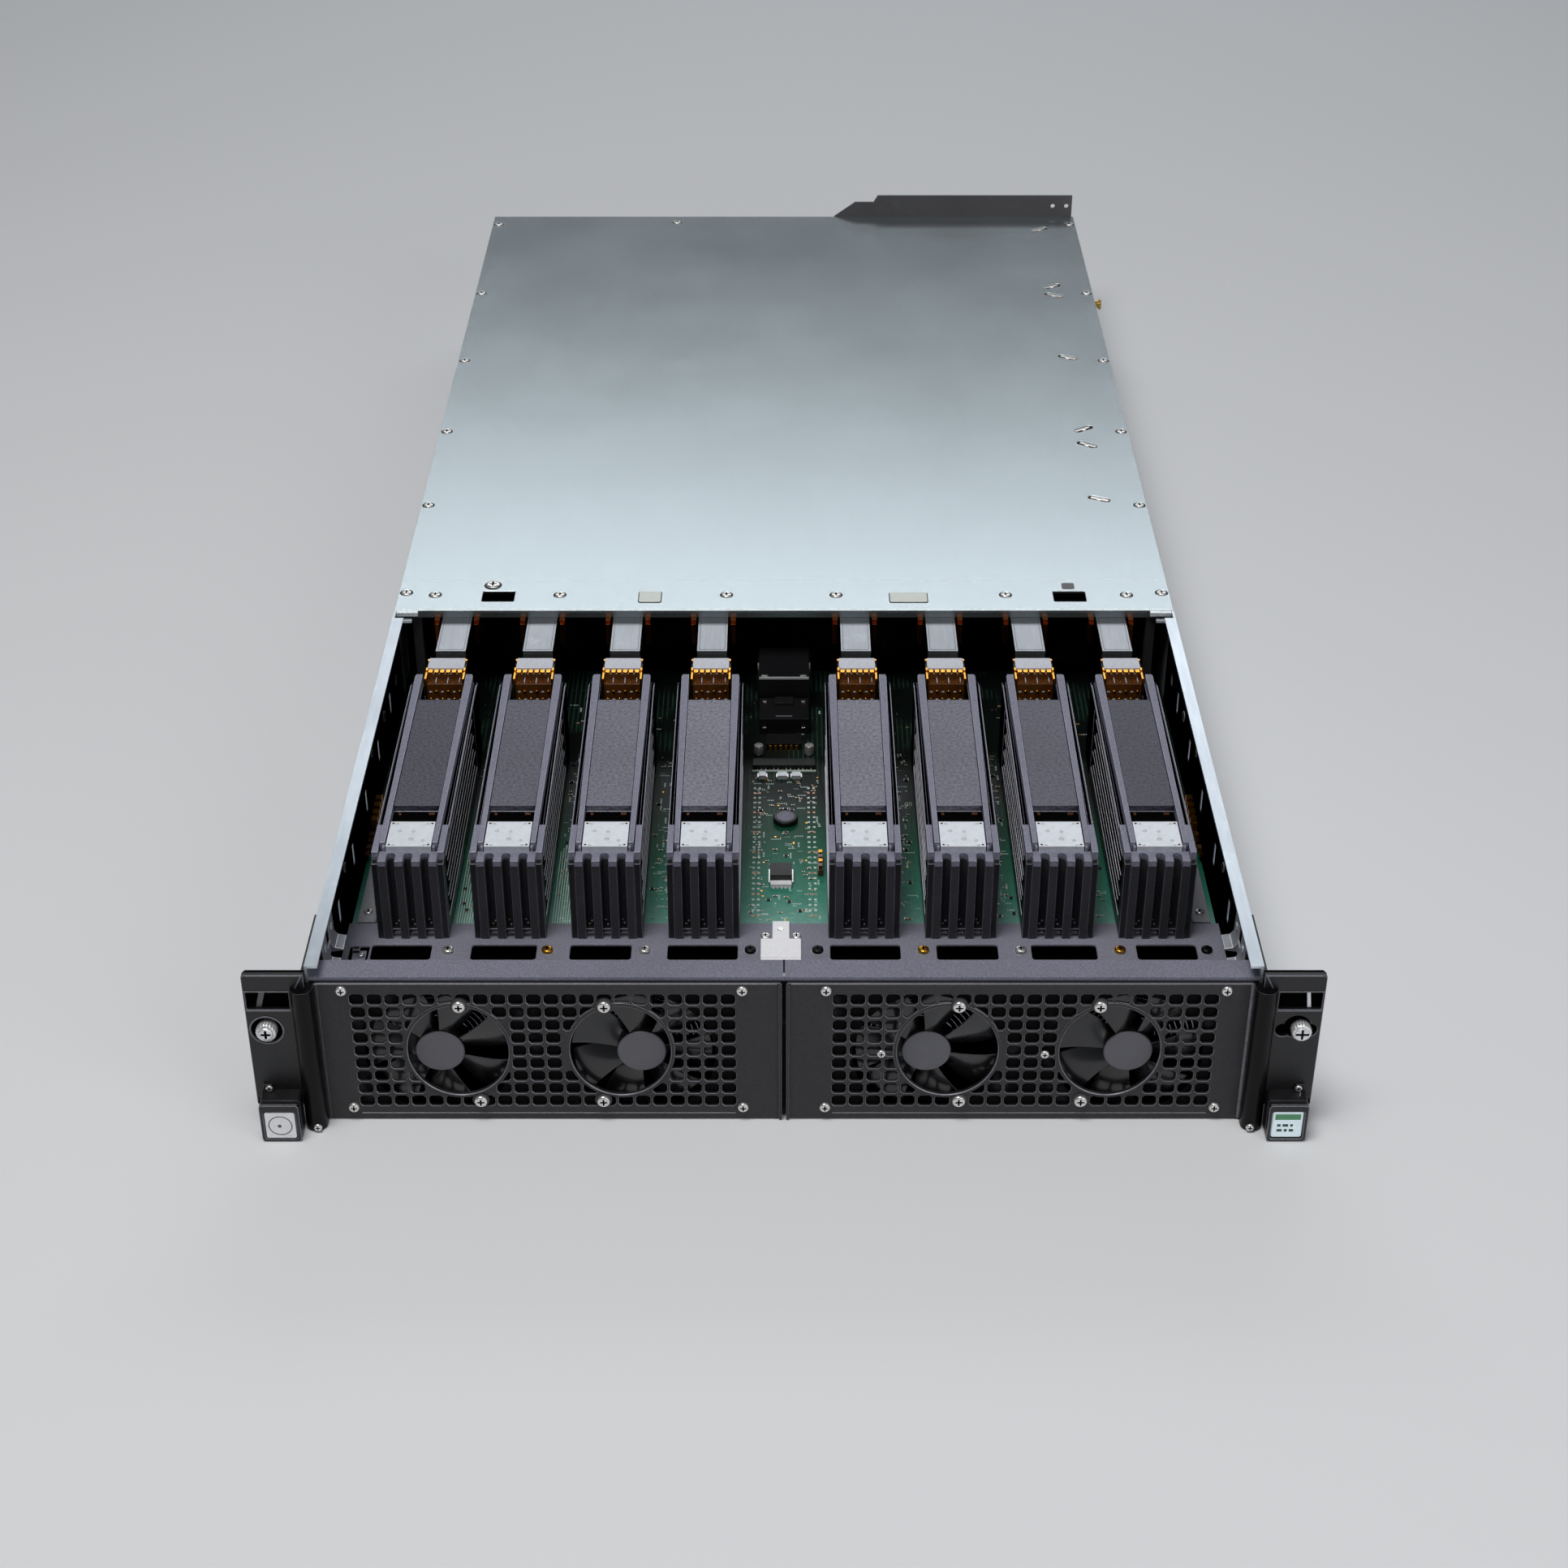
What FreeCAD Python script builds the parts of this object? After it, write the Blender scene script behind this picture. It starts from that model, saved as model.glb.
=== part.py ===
"""Rack server with eight accelerator modules in an open front bay.

Units are millimetres. The model is drawn from the front face of the chassis (y = 0, going back),
the middle of its width (x = 0) and its underside (z = 0). At export everything is shifted so that
the origin is the middle of the footprint, at the underside.
"""
import FreeCAD, Part
import math
import os

# Chassis: overall sizes
chassis_width = 427.0
chassis_height = 88.0
chassis_depth = 920.0
ear_overhang = 27.8
bay_depth = 324.0
pan_sheet = 1.5
wall_sheet = 1.2
cover_sheet = 1.2
rear_sheet = 1.5
flange_width = 6.0
flange_rear_gap = 8.4
cover_seat_width = 9.0
pan_lip_height = 12.0
seat_gap = 0.3

# Front face: lip, perforated panels and their screws
panel_sheet = 1.5
panel_height = 78.5
panel_side_gap = 3.2
panel_split_gap = 2.0
lip_height = 80.7
lip_depth = 14.5
lip_sheet = 1.2
field_inner_x = 21.8
field_outer_margin = 13.0
hole_rows = 9
hole_pitch_x = 7.93
hole_pitch_z = 7.3
hole_width = 6.7
hole_height = 6.0
field_bottom = 7.8
opening_radius = 24.0
opening_z = 40.3
opening_shift = (-8.9, 9.4)
opening_rim = 1.6
panel_screw_inner_x = 18.8
panel_screw_inset = 12.2
panel_screw_z = (7.3, 74.5)
panel_screw_head = 5.6
fan_screw_shift = ((-3.9, -10.1), (5.6, 7.4))
fan_screw_rise = (25.7, -28.9)
fan_screw_head = 5.0
screw_head_height = 1.4

# Cooling fans behind the panels
fan_side_inset = 56.7
fan_inner_x = 64.8
fan_axis_z = 37.0
fan_size = 70.0
fan_depth = 11.0
fan_corner_cut = 4.0
fan_bore_radius = 33.6
fan_plate_gap = 0.1
blade_tip_gap = 1.2
blade_count = 7
blade_sheet = 1.2
blade_tilt = 25.0
blade_setback = 4.2
blade_root_width = 6.5
blade_tip_width = 14.0
blade_belly = 8.5
blade_root_overlap = 1.0
spindle_end_gap = 0.4
hub_radius = 11.4
hub_depth = 6.0
hub_setback = 0.6
motor_radius = 12.5
motor_depth = 2.6
bore_sides = 24
round_sides = 16
hub_sides = 20
spindle_radius = 1.5
spindle_fit = 0.05
strut_width = 3.0
strut_depth = 1.6

# Deck behind the fans
deck_top = 36.3
deck_sheet = 1.2
deck_rear = 103.8
deck_slot_front = 74.2
deck_slot_rear = 86.4
deck_slot_shifts = ((-16.5, 17.3), (-12.1, 17.4), (-13.3, 18.1), (-9.5, 19.4))
deck_screw_shifts = (-22.5, -18.5, -18.5, -17.6)
deck_screw_inset = 9.1
deck_screw_y = 80.9
deck_screw_head = 5.4
deck_leg_width = 24.0
deck_leg_inset = 22.3
middle_leg_x = 106.0
deck_gap = 0.5
latch_x = -1.5
latch_sheet_top = 1.5
latch_base_width = 19.6
latch_base_rear = 89.5
latch_neck_width = 8.4
latch_rivet_head = 2.8
latch_rivet_shift = 7.5

# Accelerator boards, carriers and modules
board_sheet = 1.6
board_top = 34.3
board_front = 105.0
board_side_gap = 1.0
board_rear_gap = 2.0
post_inset_x = 17.3
post_inset_y = (20.0, 22.0)
rail_side_gap = 4.1
rail_width = 8.7
rail_height = 2.6
rail_rear_gap = 6.0
round_chip = (0.8, 196.8)
round_chip_radius = 6.5
round_chip_height = 3.0
tall_chip = (-7.0, 4.0, 140.0, 154.0)
tall_chip_height = 6.0
flat_chip = (-16.5, 16.5, 244.0, 254.0)
flat_chip_height = 4.0
aisle_block_width = 30.0
aisle_block_length = 32.0
aisle_block_height = 22.0
aisle_block_gap = 14.0
module_count_per_side = 4
module_first_x = 38.7
module_side_gap = 16.0
module_width = 34.4
module_front = 90.5
module_rear = 258.5
module_floor = 36.6
module_top = 86.1
module_rail_front = 101.0
module_rail_outer = 15.2
module_rail_width = 3.8
module_slot_width = 3.9
module_slot_pitch = 8.1
module_slot_floor = 39.0
web_slot_rear = 97.5
wing_front = 95.0
wing_rear = 118.5
wing_width = 3.0
wing_top = 84.4
sink_top = 80.0
side_groove_count = 5
side_groove_depth = 1.8
side_groove_height = 3.0
side_groove_pitch = 6.0
side_groove_floor = 48.5
plate_front = 98.9
plate_rear = 120.2
plate_width = 21.6
plate_top = 85.0
lid_front = 133.6
lid_rear = 233.6
lid_width = 22.2
lid_top = 85.4
cover_web_top = 82.0
notch_front = 234.6
cap_front = 264.8
cap_rear = 275.6
cap_width = 21.0
cap_floor = 74.0
pocket_width = 20.0
pocket_wall = 3.0
pocket_depth = 6.0
socket_width = 24.0
socket_length = 90.0
socket_front = 120.0
strap_width = 16.0
strap_front = 287.5
strap_sheet = 1.5
strap_top = 83.4

# Wall between the bay and the closed rear half
mid_wall_setback = 28.0
mid_flange = 20.0
mid_sheet = 1.2
mid_vent_count = 8
mid_vent_width = 40.0
mid_vent_floor = 38.0
mid_vent_ceiling = 64.0
connector_depth = 8.0
connector_height = 14.0
connector_width = 22.0
post_width = 5.0
post_depth = 6.0

# Rack ears and control pods
ear_sheet = 1.5
ear_front_depth = 4.0
ear_bottom = 12.0
ear_top = 86.0
ear_flange_length = 42.0
window_inset = 7.5
column_radius = 5.0
column_offset = 1.5
corner_cut = 1.5
column_top = 79.0
window_bottom = 66.8
window_top = 76.6
window_margin = 1.0
rack_hole_inset = 8.75
knob_radius = 4.8
knob_length = 6.0
knob_recess_radius = 7.0
knob_z = 55.3
knob_neck_radius = 2.2
knob_shank_radius = 2.5
knob_fit = 0.06
knob_shank_length = 10.2
pod_margin = 3.0
pod_wall = 1.7
pod_corner_cut = 1.2
pod_depth = 12.0
pod_height = 21.0
button_depth = 2.0
button_stem_radius = 2.0
button_stem_length = 4.0
button_fit = 0.06
button_travel = 1.5
button_floor_gap = 0.5
button_z = 9.4
control_height = 15.0
display_setback = 0.8

# Cover: slots and screws
cover_fold = 3.2
cover_screw_inset = 4.3
first_screw_setback = 20.1
side_screw_insets = (469.0, 368.3, 260.4, 146.2, 15.4)
cover_screw_head = 5.0
front_row_setback = 17.7
front_row_left = (20.5, 89.5)
front_row_middle = (-31.8, 28.8)
front_row_right = (90.9, 23.9)
rear_screw_x = -78.5
rear_screw_inset = 11.0
cover_slot_inset = 55.6
cover_slot_setback = 16.0
cover_slot_length = 18.0
cover_slot_width = 8.0
clip_slot_inset = 27.2
clip_slots = ((25.8, 30), (133.8, 30), (149.8, -30), (255.2, -30), (364.6, 35), (387.0, -35), (460.7, -25))
clip_slot_length = 14.0
clip_slot_width = 5.0

# Rear: bracket, ports, power supplies
bracket_sheet = 1.5
bracket_side_gap = 1.5
bracket_length = 175.0
bracket_steps = (15.5, 29.0, 32.0)
bracket_hole = 3.2
bracket_hole_insets = (4.0, 14.0)
bracket_rise = 16.0
bracket_step = 11.0
psu_width = 86.0
psu_height = 39.3
psu_length = 185.0
psu_side_gap = 4.5
psu_floor = 2.0
psu_bay_gap = 0.5
psu_shelf = 1.2
psu_face_proud = 2.0
handle_reach = 22.0
handle_bar = 4.0
latch_length = 12.0
latch_height = 11.4
latch_sheet = 2.0
lug_sheet = 2.0
latch_pin_radius = 1.5
latch_pin_fit = 0.05
inlet_width = 24.0
inlet_height = 16.0
inlet_depth = 15.0
inlet_inset = 28.0
lug_inset = 9.0
lug_reach = 5.0
lug_width = 7.0
latch_eye_wall = 1.6
psu_vent_width = 18.0
psu_vent_height = 4.0
psu_vent_depth = 3.0
psu_vent_rises = (7.0, 15.0, 23.0)
cage_front_gap = 4.0
handle_inset = 44.0
handle_margin = 4.0
ports = ((22.3, 16.0, 13.5), (44.3, 16.0, 13.5), (66.3, 13.5, 6.0), (84.3, 13.5, 6.0),
         (104.3, 16.0, 13.5))
port_z = 12.0
port_wall = 0.7
port_depth = 14.0
port_length = 24.0
port_proud = 0.4
rear_vent_rows = 3
rear_vent_inset = 16.3
rear_vent_margin = 20.0
rear_vent_z = 37.0
rear_vent_width = 68.0
rear_vent_height = 9.0
rear_vent_pitch_x = 76.0
rear_vent_pitch_z = 15.0
stud_inset = 142.0
stud_z = 78.0
stud_radius = 3.6
stud_neck_radius = 2.4
stud_length = 6.5
stud_head_length = 1.5
wall_slot_y = (84.0, 132.0, 180.0, 228.0, 276.0)
wall_slot_length = 4.0
wall_slot_floor = 52.0
wall_slot_height = 12.0
wall_clip_y = (33.0, 62.0)
wall_clip_z = (58.0, 74.0)
wall_clip_reach = 7.0

# Boards in the closed half
system_board_setback = 28.0
system_board_rear_gap = 1.0
system_board_z = 8.0
cpu_sink_gap = 18.0
cpu_sink_length = 110.0
cpu_sink_height = 58.0
cpu_sink_setback = 90.0
cpu_sink_base = 8.0
cpu_fin_count = 10
cpu_fin_gap = 5.0
dimm_bank = 4
dimm_pitch = 8.0
dimm_length = 133.0
dimm_height = 31.0
dimm_sheet = 4.0
dimm_side_gap = 16.3
dimm_cage_gap = 21.3
dimm_setback = 10.0
standoff_width = 5.5
system_post_insets = (10.0, 40.0)

half_width = chassis_width / 2
wall_inner = half_width - wall_sheet
ear_outer = half_width + ear_overhang
panel_outer_x = half_width - panel_side_gap
panel_screw_x = (panel_screw_inner_x, panel_outer_x - panel_screw_inset)
field_width = panel_outer_x - field_outer_margin - field_inner_x
hole_columns = int((field_width + hole_pitch_x - hole_width) / hole_pitch_x)
fan_axis_x = (half_width - fan_side_inset, fan_inner_x)
opening_x = tuple(x + shift for x, shift in zip(fan_axis_x, opening_shift))
mid_wall_y = bay_depth + mid_wall_setback
cover_top = chassis_height
cover_under = cover_top - cover_sheet
rear_face = chassis_depth
stud_y = rear_face - stud_inset
panel_back = panel_sheet
fan_plate_back = panel_back + lip_sheet
fan_front = fan_plate_back + fan_plate_gap
module_last_x = wall_inner - module_side_gap - module_width / 2
module_pitch = (module_last_x - module_first_x) / (module_count_per_side - 1)
module_right_xs = [module_first_x + i * module_pitch for i in range(module_count_per_side)]
module_xs = sorted([-x for x in module_right_xs] + module_right_xs)
deck_slots = [(x + low, x + high) for x, (low, high) in zip(module_right_xs, deck_slot_shifts)]
deck_screw_x = [x + shift for x, shift in zip(module_right_xs, deck_screw_shifts)]
deck_screw_x.append(wall_inner - deck_screw_inset)
fan_xs = sorted([-x for x in fan_axis_x] + list(fan_axis_x))
front_most = -(ear_front_depth + pod_depth)
knob_x = ear_outer - rack_hole_inset
pod_inner_x = half_width + column_offset + column_radius + seat_gap
pod_outer_x = ear_outer - pod_margin
pod_width = pod_outer_x - pod_inner_x
pod_x = (pod_inner_x + pod_outer_x) / 2
button_size = pod_width - 2 * (pod_wall + seat_gap)
cover_screw_x = half_width - cover_screw_inset
clip_slot_x = half_width - clip_slot_inset
cover_slot_x = half_width - cover_slot_inset
cover_slot_y = bay_depth + cover_slot_setback
psu_right_x = half_width - psu_side_gap
psu_left_x = psu_right_x - psu_width
cage_left_x = psu_left_x - psu_bay_gap - psu_shelf
rear_vent_x = rear_vent_inset - wall_inner
system_board_front = mid_wall_y + system_board_setback
cpu_sink_y = system_board_front + cpu_sink_setback
button_pocket = button_depth + button_travel + button_floor_gap
rear_most = rear_face + psu_face_proud + handle_reach
origin_y = (front_most + rear_most) / 2

parts = {}


def block(x0, x1, y0, y1, z0, z1):
    return Part.makeBox(x1 - x0, y1 - y0, z1 - z0, FreeCAD.Vector(x0, y0, z0))


def rod_x(radius, length, x, y, z):
    return Part.makeCylinder(radius, length, FreeCAD.Vector(x, y, z), FreeCAD.Vector(1, 0, 0))


def rod_y(radius, length, x, y, z):
    return Part.makeCylinder(radius, length, FreeCAD.Vector(x, y, z), FreeCAD.Vector(0, 1, 0))


def rod_z(radius, length, x, y, z):
    return Part.makeCylinder(radius, length, FreeCAD.Vector(x, y, z), FreeCAD.Vector(0, 0, 1))


def join(shapes):
    first = shapes[0]
    return first.fuse(shapes[1:]).removeSplitter() if len(shapes) > 1 else first


def carve(shape, tools):
    return shape.cut(Part.makeCompound(tools)) if tools else shape


def prism_y(points, y0, y1):
    wire = Part.makePolygon([FreeCAD.Vector(x, y0, z) for x, z in points + points[:1]])
    return Part.Face(wire).extrude(FreeCAD.Vector(0, y1 - y0, 0))


def mirrored(shape):
    return shape.mirror(FreeCAD.Vector(0, 0, 0), FreeCAD.Vector(1, 0, 0))


def many_sided(sides, width, length, base, direction):
    """A prism with the given number of sides, measured across its flats."""
    reach = width / 2 / math.cos(math.pi / sides)
    ring = []
    for i in range(sides + 1):
        turn = (i + 0.5) * 2 * math.pi / sides
        a, b = reach * math.cos(turn), reach * math.sin(turn)
        ring.append(base + (FreeCAD.Vector(a, b, 0) if direction.z else FreeCAD.Vector(a, 0, b)))
    return Part.Face(Part.makePolygon(ring)).extrude(direction * length)


def top_screw(x, y, z, head):
    """The plain head of a screw that is driven down, seated at height z."""
    return many_sided(6, head, screw_head_height, FreeCAD.Vector(x, y, z), FreeCAD.Vector(0, 0, 1))


def front_screw(x, z, head):
    """The plain head of a screw that is driven back, seated on the front face."""
    return many_sided(6, head, screw_head_height, FreeCAD.Vector(x, 0, z), FreeCAD.Vector(0, -1, 0))


def standoff(x, y, z0, z1):
    return many_sided(6, standoff_width, z1 - z0, FreeCAD.Vector(x, y, z0), FreeCAD.Vector(0, 0, 1))


def make_base_pan():
    floor = block(-wall_inner, wall_inner, panel_back, rear_face - rear_sheet, 0, pan_sheet)
    left_lip = block(-wall_inner, -wall_inner + pan_sheet, panel_back, rear_face - rear_sheet,
                     pan_sheet, pan_lip_height)
    parts["base_pan"] = join([floor, left_lip, mirrored(left_lip)])


def wall_slots():
    """Lanced slots low in each wall of the open bay."""
    return [block(wall_inner - 1, half_width + 1, y - wall_slot_length / 2, y + wall_slot_length / 2,
                  wall_slot_floor, wall_slot_floor + wall_slot_height) for y in wall_slot_y]


def make_side_walls():
    panel = block(wall_inner, half_width, 0, rear_face, 0, cover_under)
    rim = block(wall_inner, half_width, 0, bay_depth - seat_gap, cover_under, chassis_height)
    bay_flange = block(half_width - flange_width, half_width, 0, bay_depth - flange_rear_gap,
                       chassis_height - wall_sheet, chassis_height)
    cover_seat = block(half_width - cover_seat_width, half_width, bay_depth, rear_face - rear_sheet,
                       cover_under - wall_sheet, cover_under)
    wall = join([panel, rim, bay_flange, cover_seat])
    right = carve(wall, wall_slots())
    stud_hole = rod_x(stud_neck_radius, wall_sheet, wall_inner, stud_y, stud_z)
    parts["side_wall_right"] = carve(right, [stud_hole])
    parts["side_wall_left"] = mirrored(right)


def make_rail_stud():
    neck_length = wall_sheet + stud_length - stud_head_length
    neck = rod_x(stud_neck_radius, neck_length, wall_inner, stud_y, stud_z)
    head = rod_x(stud_radius, stud_head_length, wall_inner + neck_length, stud_y, stud_z)
    parts["rail_stud"] = join([neck, head])


def psu_bays():
    """Cross-section of the two power supply bays, as (z0, z1) pairs."""
    first = psu_floor
    second = psu_floor + psu_height + 2 * psu_bay_gap + psu_shelf
    return ((first, first + psu_height), (second, second + psu_height))


def make_rear_panel():
    panel = block(-wall_inner, wall_inner, rear_face - rear_sheet, rear_face, 0, cover_under)
    tools = []
    for z0, z1 in psu_bays():
        tools.append(block(psu_left_x - psu_bay_gap, psu_right_x + psu_bay_gap, rear_face - 5, rear_face + 5,
                           z0 - psu_bay_gap, z1 + psu_bay_gap))
    for x, width, height in port_layout():
        tools.append(block(x, x + width, rear_face - 5, rear_face + 5, port_z, port_z + height))
    vent_space = psu_left_x - rear_vent_margin - rear_vent_x + rear_vent_pitch_x - rear_vent_width
    for column in range(int(vent_space / rear_vent_pitch_x)):
        for row in range(rear_vent_rows):
            x = rear_vent_x + column * rear_vent_pitch_x
            z = rear_vent_z + row * rear_vent_pitch_z
            tools.append(block(x, x + rear_vent_width, rear_face - 5, rear_face + 5,
                               z, z + rear_vent_height))
    parts["rear_panel"] = carve(panel, tools)


def port_layout():
    """Left edge, width and height of each port on the rear panel."""
    return [(inset - wall_inner, width, height) for inset, width, height in ports]


def make_rear_ports():
    shells = []
    for x, width, height in port_layout():
        body = block(x, x + width, rear_face - port_length, rear_face + port_proud,
                     port_z, port_z + height)
        cavity = block(x + port_wall, x + width - port_wall, rear_face - port_depth, rear_face + 1,
                       port_z + port_wall, port_z + height - port_wall)
        shells.append(body.cut(cavity))
    parts["rear_ports"] = Part.makeCompound(shells)


def make_rear_bracket():
    right = half_width - bracket_side_gap
    left = right - bracket_length
    low = cover_top + bracket_step
    high = cover_top + bracket_rise
    foot = psu_bays()[1][1] + psu_bay_gap
    a, b, c = [left + step for step in bracket_steps]
    outline = [(left, foot), (right, foot), (right, high), (c, high), (b, low), (a, low), (left, cover_top)]
    plate = prism_y(outline, rear_face, rear_face + bracket_sheet)
    hole_z = cover_top + bracket_rise / 2
    tools = [many_sided(8, bracket_hole, 4, FreeCAD.Vector(right - inset, rear_face - 1, hole_z),
                        FreeCAD.Vector(0, 1, 0)) for inset in bracket_hole_insets]
    parts["rear_bracket"] = carve(plate, tools)


def cover_slot_tools():
    """Two finger slots through the cover's front edge and the flange under it."""
    tools = []
    for x in (-cover_slot_x, cover_slot_x):
        tools.append(block(x - cover_slot_length / 2, x + cover_slot_length / 2,
                           cover_slot_y - cover_slot_width / 2, cover_slot_y + cover_slot_width / 2,
                           cover_under - mid_sheet - 1, cover_top + 1))
    return tools


def make_top_cover():
    plate = block(-half_width, half_width, bay_depth, rear_face, cover_under, cover_top)
    fold = block(-half_width + cover_seat_width + 1, half_width - cover_seat_width - 1, bay_depth,
                 bay_depth + cover_sheet, cover_under - cover_fold, cover_under)
    tools = cover_slot_tools()
    for inset, turn in clip_slots:
        slot = block(-clip_slot_length / 2, clip_slot_length / 2, -clip_slot_width / 2, clip_slot_width / 2,
                     cover_under - 1, cover_top + 1)
        slot.rotate(FreeCAD.Vector(0, 0, 0), FreeCAD.Vector(0, 0, 1), turn)
        slot.translate(FreeCAD.Vector(clip_slot_x, rear_face - inset, 0))
        tools.append(slot)
    parts["top_cover"] = carve(join([plate, fold]), tools)


def cover_screw_places():
    side_y = [bay_depth + first_screw_setback] + [rear_face - inset for inset in side_screw_insets]
    places = [(side * cover_screw_x, y) for side in (-1, 1) for y in side_y]
    front_row_x = [inset - half_width for inset in front_row_left] + list(front_row_middle)
    front_row_x += [half_width - inset for inset in front_row_right]
    places += [(x, bay_depth + front_row_setback) for x in front_row_x]
    places.append((rear_screw_x, rear_face - rear_screw_inset))
    return places


def make_cover_screws():
    screws = [top_screw(x, y, cover_top, cover_screw_head) for x, y in cover_screw_places()]
    parts["cover_screws"] = Part.makeCompound(screws)


def panel_screw_places():
    return [(x, z) for x in panel_screw_x for z in panel_screw_z]


def fan_screw_places():
    """Screws above and below each round opening, for the right half of the front."""
    return [(x + dx, opening_z + dz) for x, shifts in zip(opening_x, fan_screw_shift)
            for dx, dz in zip(shifts, fan_screw_rise)]


def make_grilles():
    panel = block(panel_split_gap / 2, panel_outer_x, 0, panel_sheet, 0, panel_height)
    tools = [rod_y(opening_radius, panel_sheet + 2, x, -1, opening_z) for x in opening_x]
    screws = panel_screw_places() + fan_screw_places()
    hole_diagonal = math.hypot(hole_width, hole_height) / 2
    for column in range(hole_columns):
        for row in range(hole_rows):
            x = field_inner_x + hole_width / 2 + column * hole_pitch_x
            z = field_bottom + hole_height / 2 + row * hole_pitch_z
            ring = opening_radius + opening_rim + hole_diagonal
            near_opening = any(math.hypot(x - ox, z - opening_z) < ring for ox in opening_x)
            reach = hole_diagonal + fan_screw_head / 2
            near_screw = any(math.hypot(x - sx, z - sz) < reach for sx, sz in screws)
            if not near_opening and not near_screw:
                tools.append(block(x - hole_width / 2, x + hole_width / 2, -1, panel_sheet + 1,
                                   z - hole_height / 2, z + hole_height / 2))
    parts["grille_right"] = carve(panel, tools)
    parts["grille_left"] = mirrored(parts["grille_right"])


def make_grille_screws():
    right = [front_screw(x, z, panel_screw_head) for x, z in panel_screw_places()]
    right += [front_screw(x, z, fan_screw_head) for x, z in fan_screw_places()]
    parts["grille_screws"] = Part.makeCompound(right + [mirrored(screw) for screw in right])


def make_front_frame():
    plate = block(-wall_inner, wall_inner, panel_back, fan_plate_back, pan_sheet, lip_height - lip_sheet)
    lip = block(-wall_inner, wall_inner, panel_back, lip_depth, lip_height - lip_sheet, lip_height)
    turned_edge = block(-wall_inner, wall_inner, lip_depth - lip_sheet, lip_depth,
                        fan_axis_z + fan_size / 2 + deck_gap, lip_height - lip_sheet)
    tools = [fan_bore(x, 0, lip_depth) for x in fan_xs]
    for x in (-wall_inner, wall_inner - pan_sheet):
        tools.append(block(x, x + pan_sheet, 0, fan_plate_back + 1, 0, pan_lip_height))
    parts["front_frame"] = carve(join([plate, lip, turned_edge]), tools)


def fan_bore(x, y, length):
    """The many-sided bore of one fan, as a cutting tool."""
    base = FreeCAD.Vector(x, y, fan_axis_z)
    return many_sided(bore_sides, 2 * fan_bore_radius, length, base, FreeCAD.Vector(0, 1, 0))


def make_fan_frame(x):
    z = fan_axis_z
    half = fan_size / 2
    y1 = fan_front + fan_depth
    body = block(x - half, x + half, fan_front, y1, z - half, z + half)
    edges = [edge for edge in body.Edges if abs(edge.tangentAt(edge.FirstParameter).y) > 0.9]
    body = body.makeChamfer(fan_corner_cut, edges)
    body = body.cut(fan_bore(x, fan_front - 1, fan_depth + 2))
    reach = fan_bore_radius + 1
    struts = [block(x - strut_width / 2, x + strut_width / 2, y1 - strut_depth, y1, z - reach, z + reach),
              block(x - reach, x + reach, y1 - strut_depth, y1, z - strut_width / 2, z + strut_width / 2)]
    motor = many_sided(8, 2 * motor_radius, motor_depth, FreeCAD.Vector(x, y1, z), FreeCAD.Vector(0, -1, 0))
    bearing = rod_y(spindle_radius + spindle_fit, motor_depth + 2, x, y1 - motor_depth - 1, z)
    return join([body, motor] + struts).cut(bearing)


def make_blade(tip):
    """One blade of the fan at the origin: a tilted sheet with a swept leading edge and a blunt tip."""
    root = hub_radius - blade_root_overlap
    points = [(-blade_root_width / 2, root), (-blade_belly, (root + tip) / 2), (-blade_tip_width / 2, tip),
              (blade_tip_width / 2, tip), (blade_root_width / 2, root)]
    blade = prism_y(points, -blade_sheet / 2, blade_sheet / 2)
    blade.rotate(FreeCAD.Vector(0, 0, 0), FreeCAD.Vector(0, 0, 1), blade_tilt)
    return blade


def make_fan_rotor(x):
    hub_front = fan_front + hub_setback
    back = FreeCAD.Vector(0, 1, 0)
    hub = many_sided(hub_sides, 2 * hub_radius, hub_depth, FreeCAD.Vector(0, hub_front, 0), back)
    spindle_length = fan_depth - hub_setback - hub_depth - spindle_end_gap
    spindle = rod_y(spindle_radius, spindle_length, 0, hub_front + hub_depth, 0)
    tip = math.sqrt((fan_bore_radius - blade_tip_gap) ** 2 - (blade_tip_width / 2) ** 2)
    blades = []
    for i in range(blade_count):
        blade = make_blade(tip)
        blade.translate(FreeCAD.Vector(0, hub_front + blade_setback, 0))
        blade.rotate(FreeCAD.Vector(0, 0, 0), FreeCAD.Vector(0, 1, 0), i * 360 / blade_count)
        blades.append(blade)
    rotor = join([hub, spindle] + blades)
    rotor.translate(FreeCAD.Vector(x, 0, fan_axis_z))
    return rotor


def make_fans():
    frames = [make_fan_frame(x) for x in fan_xs]
    parts["fan_frames"] = Part.makeCompound(frames)
    for i, x in enumerate(fan_xs):
        parts["fan_rotor_%d" % (i + 1)] = make_fan_rotor(x)


def make_front_deck():
    bottom = deck_top - deck_sheet
    front = fan_front + fan_depth + deck_gap
    deck = block(-wall_inner, wall_inner, front, deck_rear, bottom, deck_top)
    legs = []
    leg_x = wall_inner - deck_leg_inset
    for x in (-leg_x, -middle_leg_x, 0, middle_leg_x, leg_x):
        for y in (front, deck_rear - deck_sheet):
            legs.append(block(x - deck_leg_width / 2, x + deck_leg_width / 2, y, y + deck_sheet,
                              pan_sheet, bottom))
    tools = []
    for x0, x1 in deck_slots:
        for a, b in ((x0, x1), (-x1, -x0)):
            tools.append(block(a, b, deck_slot_front, deck_slot_rear, bottom - 1, deck_top + 1))
    parts["front_deck"] = carve(join([deck] + legs), tools)


def make_deck_screws():
    screws = [top_screw(side * x, deck_screw_y, deck_top, deck_screw_head)
              for side in (-1, 1) for x in deck_screw_x]
    parts["deck_screws"] = Part.makeCompound(screws)


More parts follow.
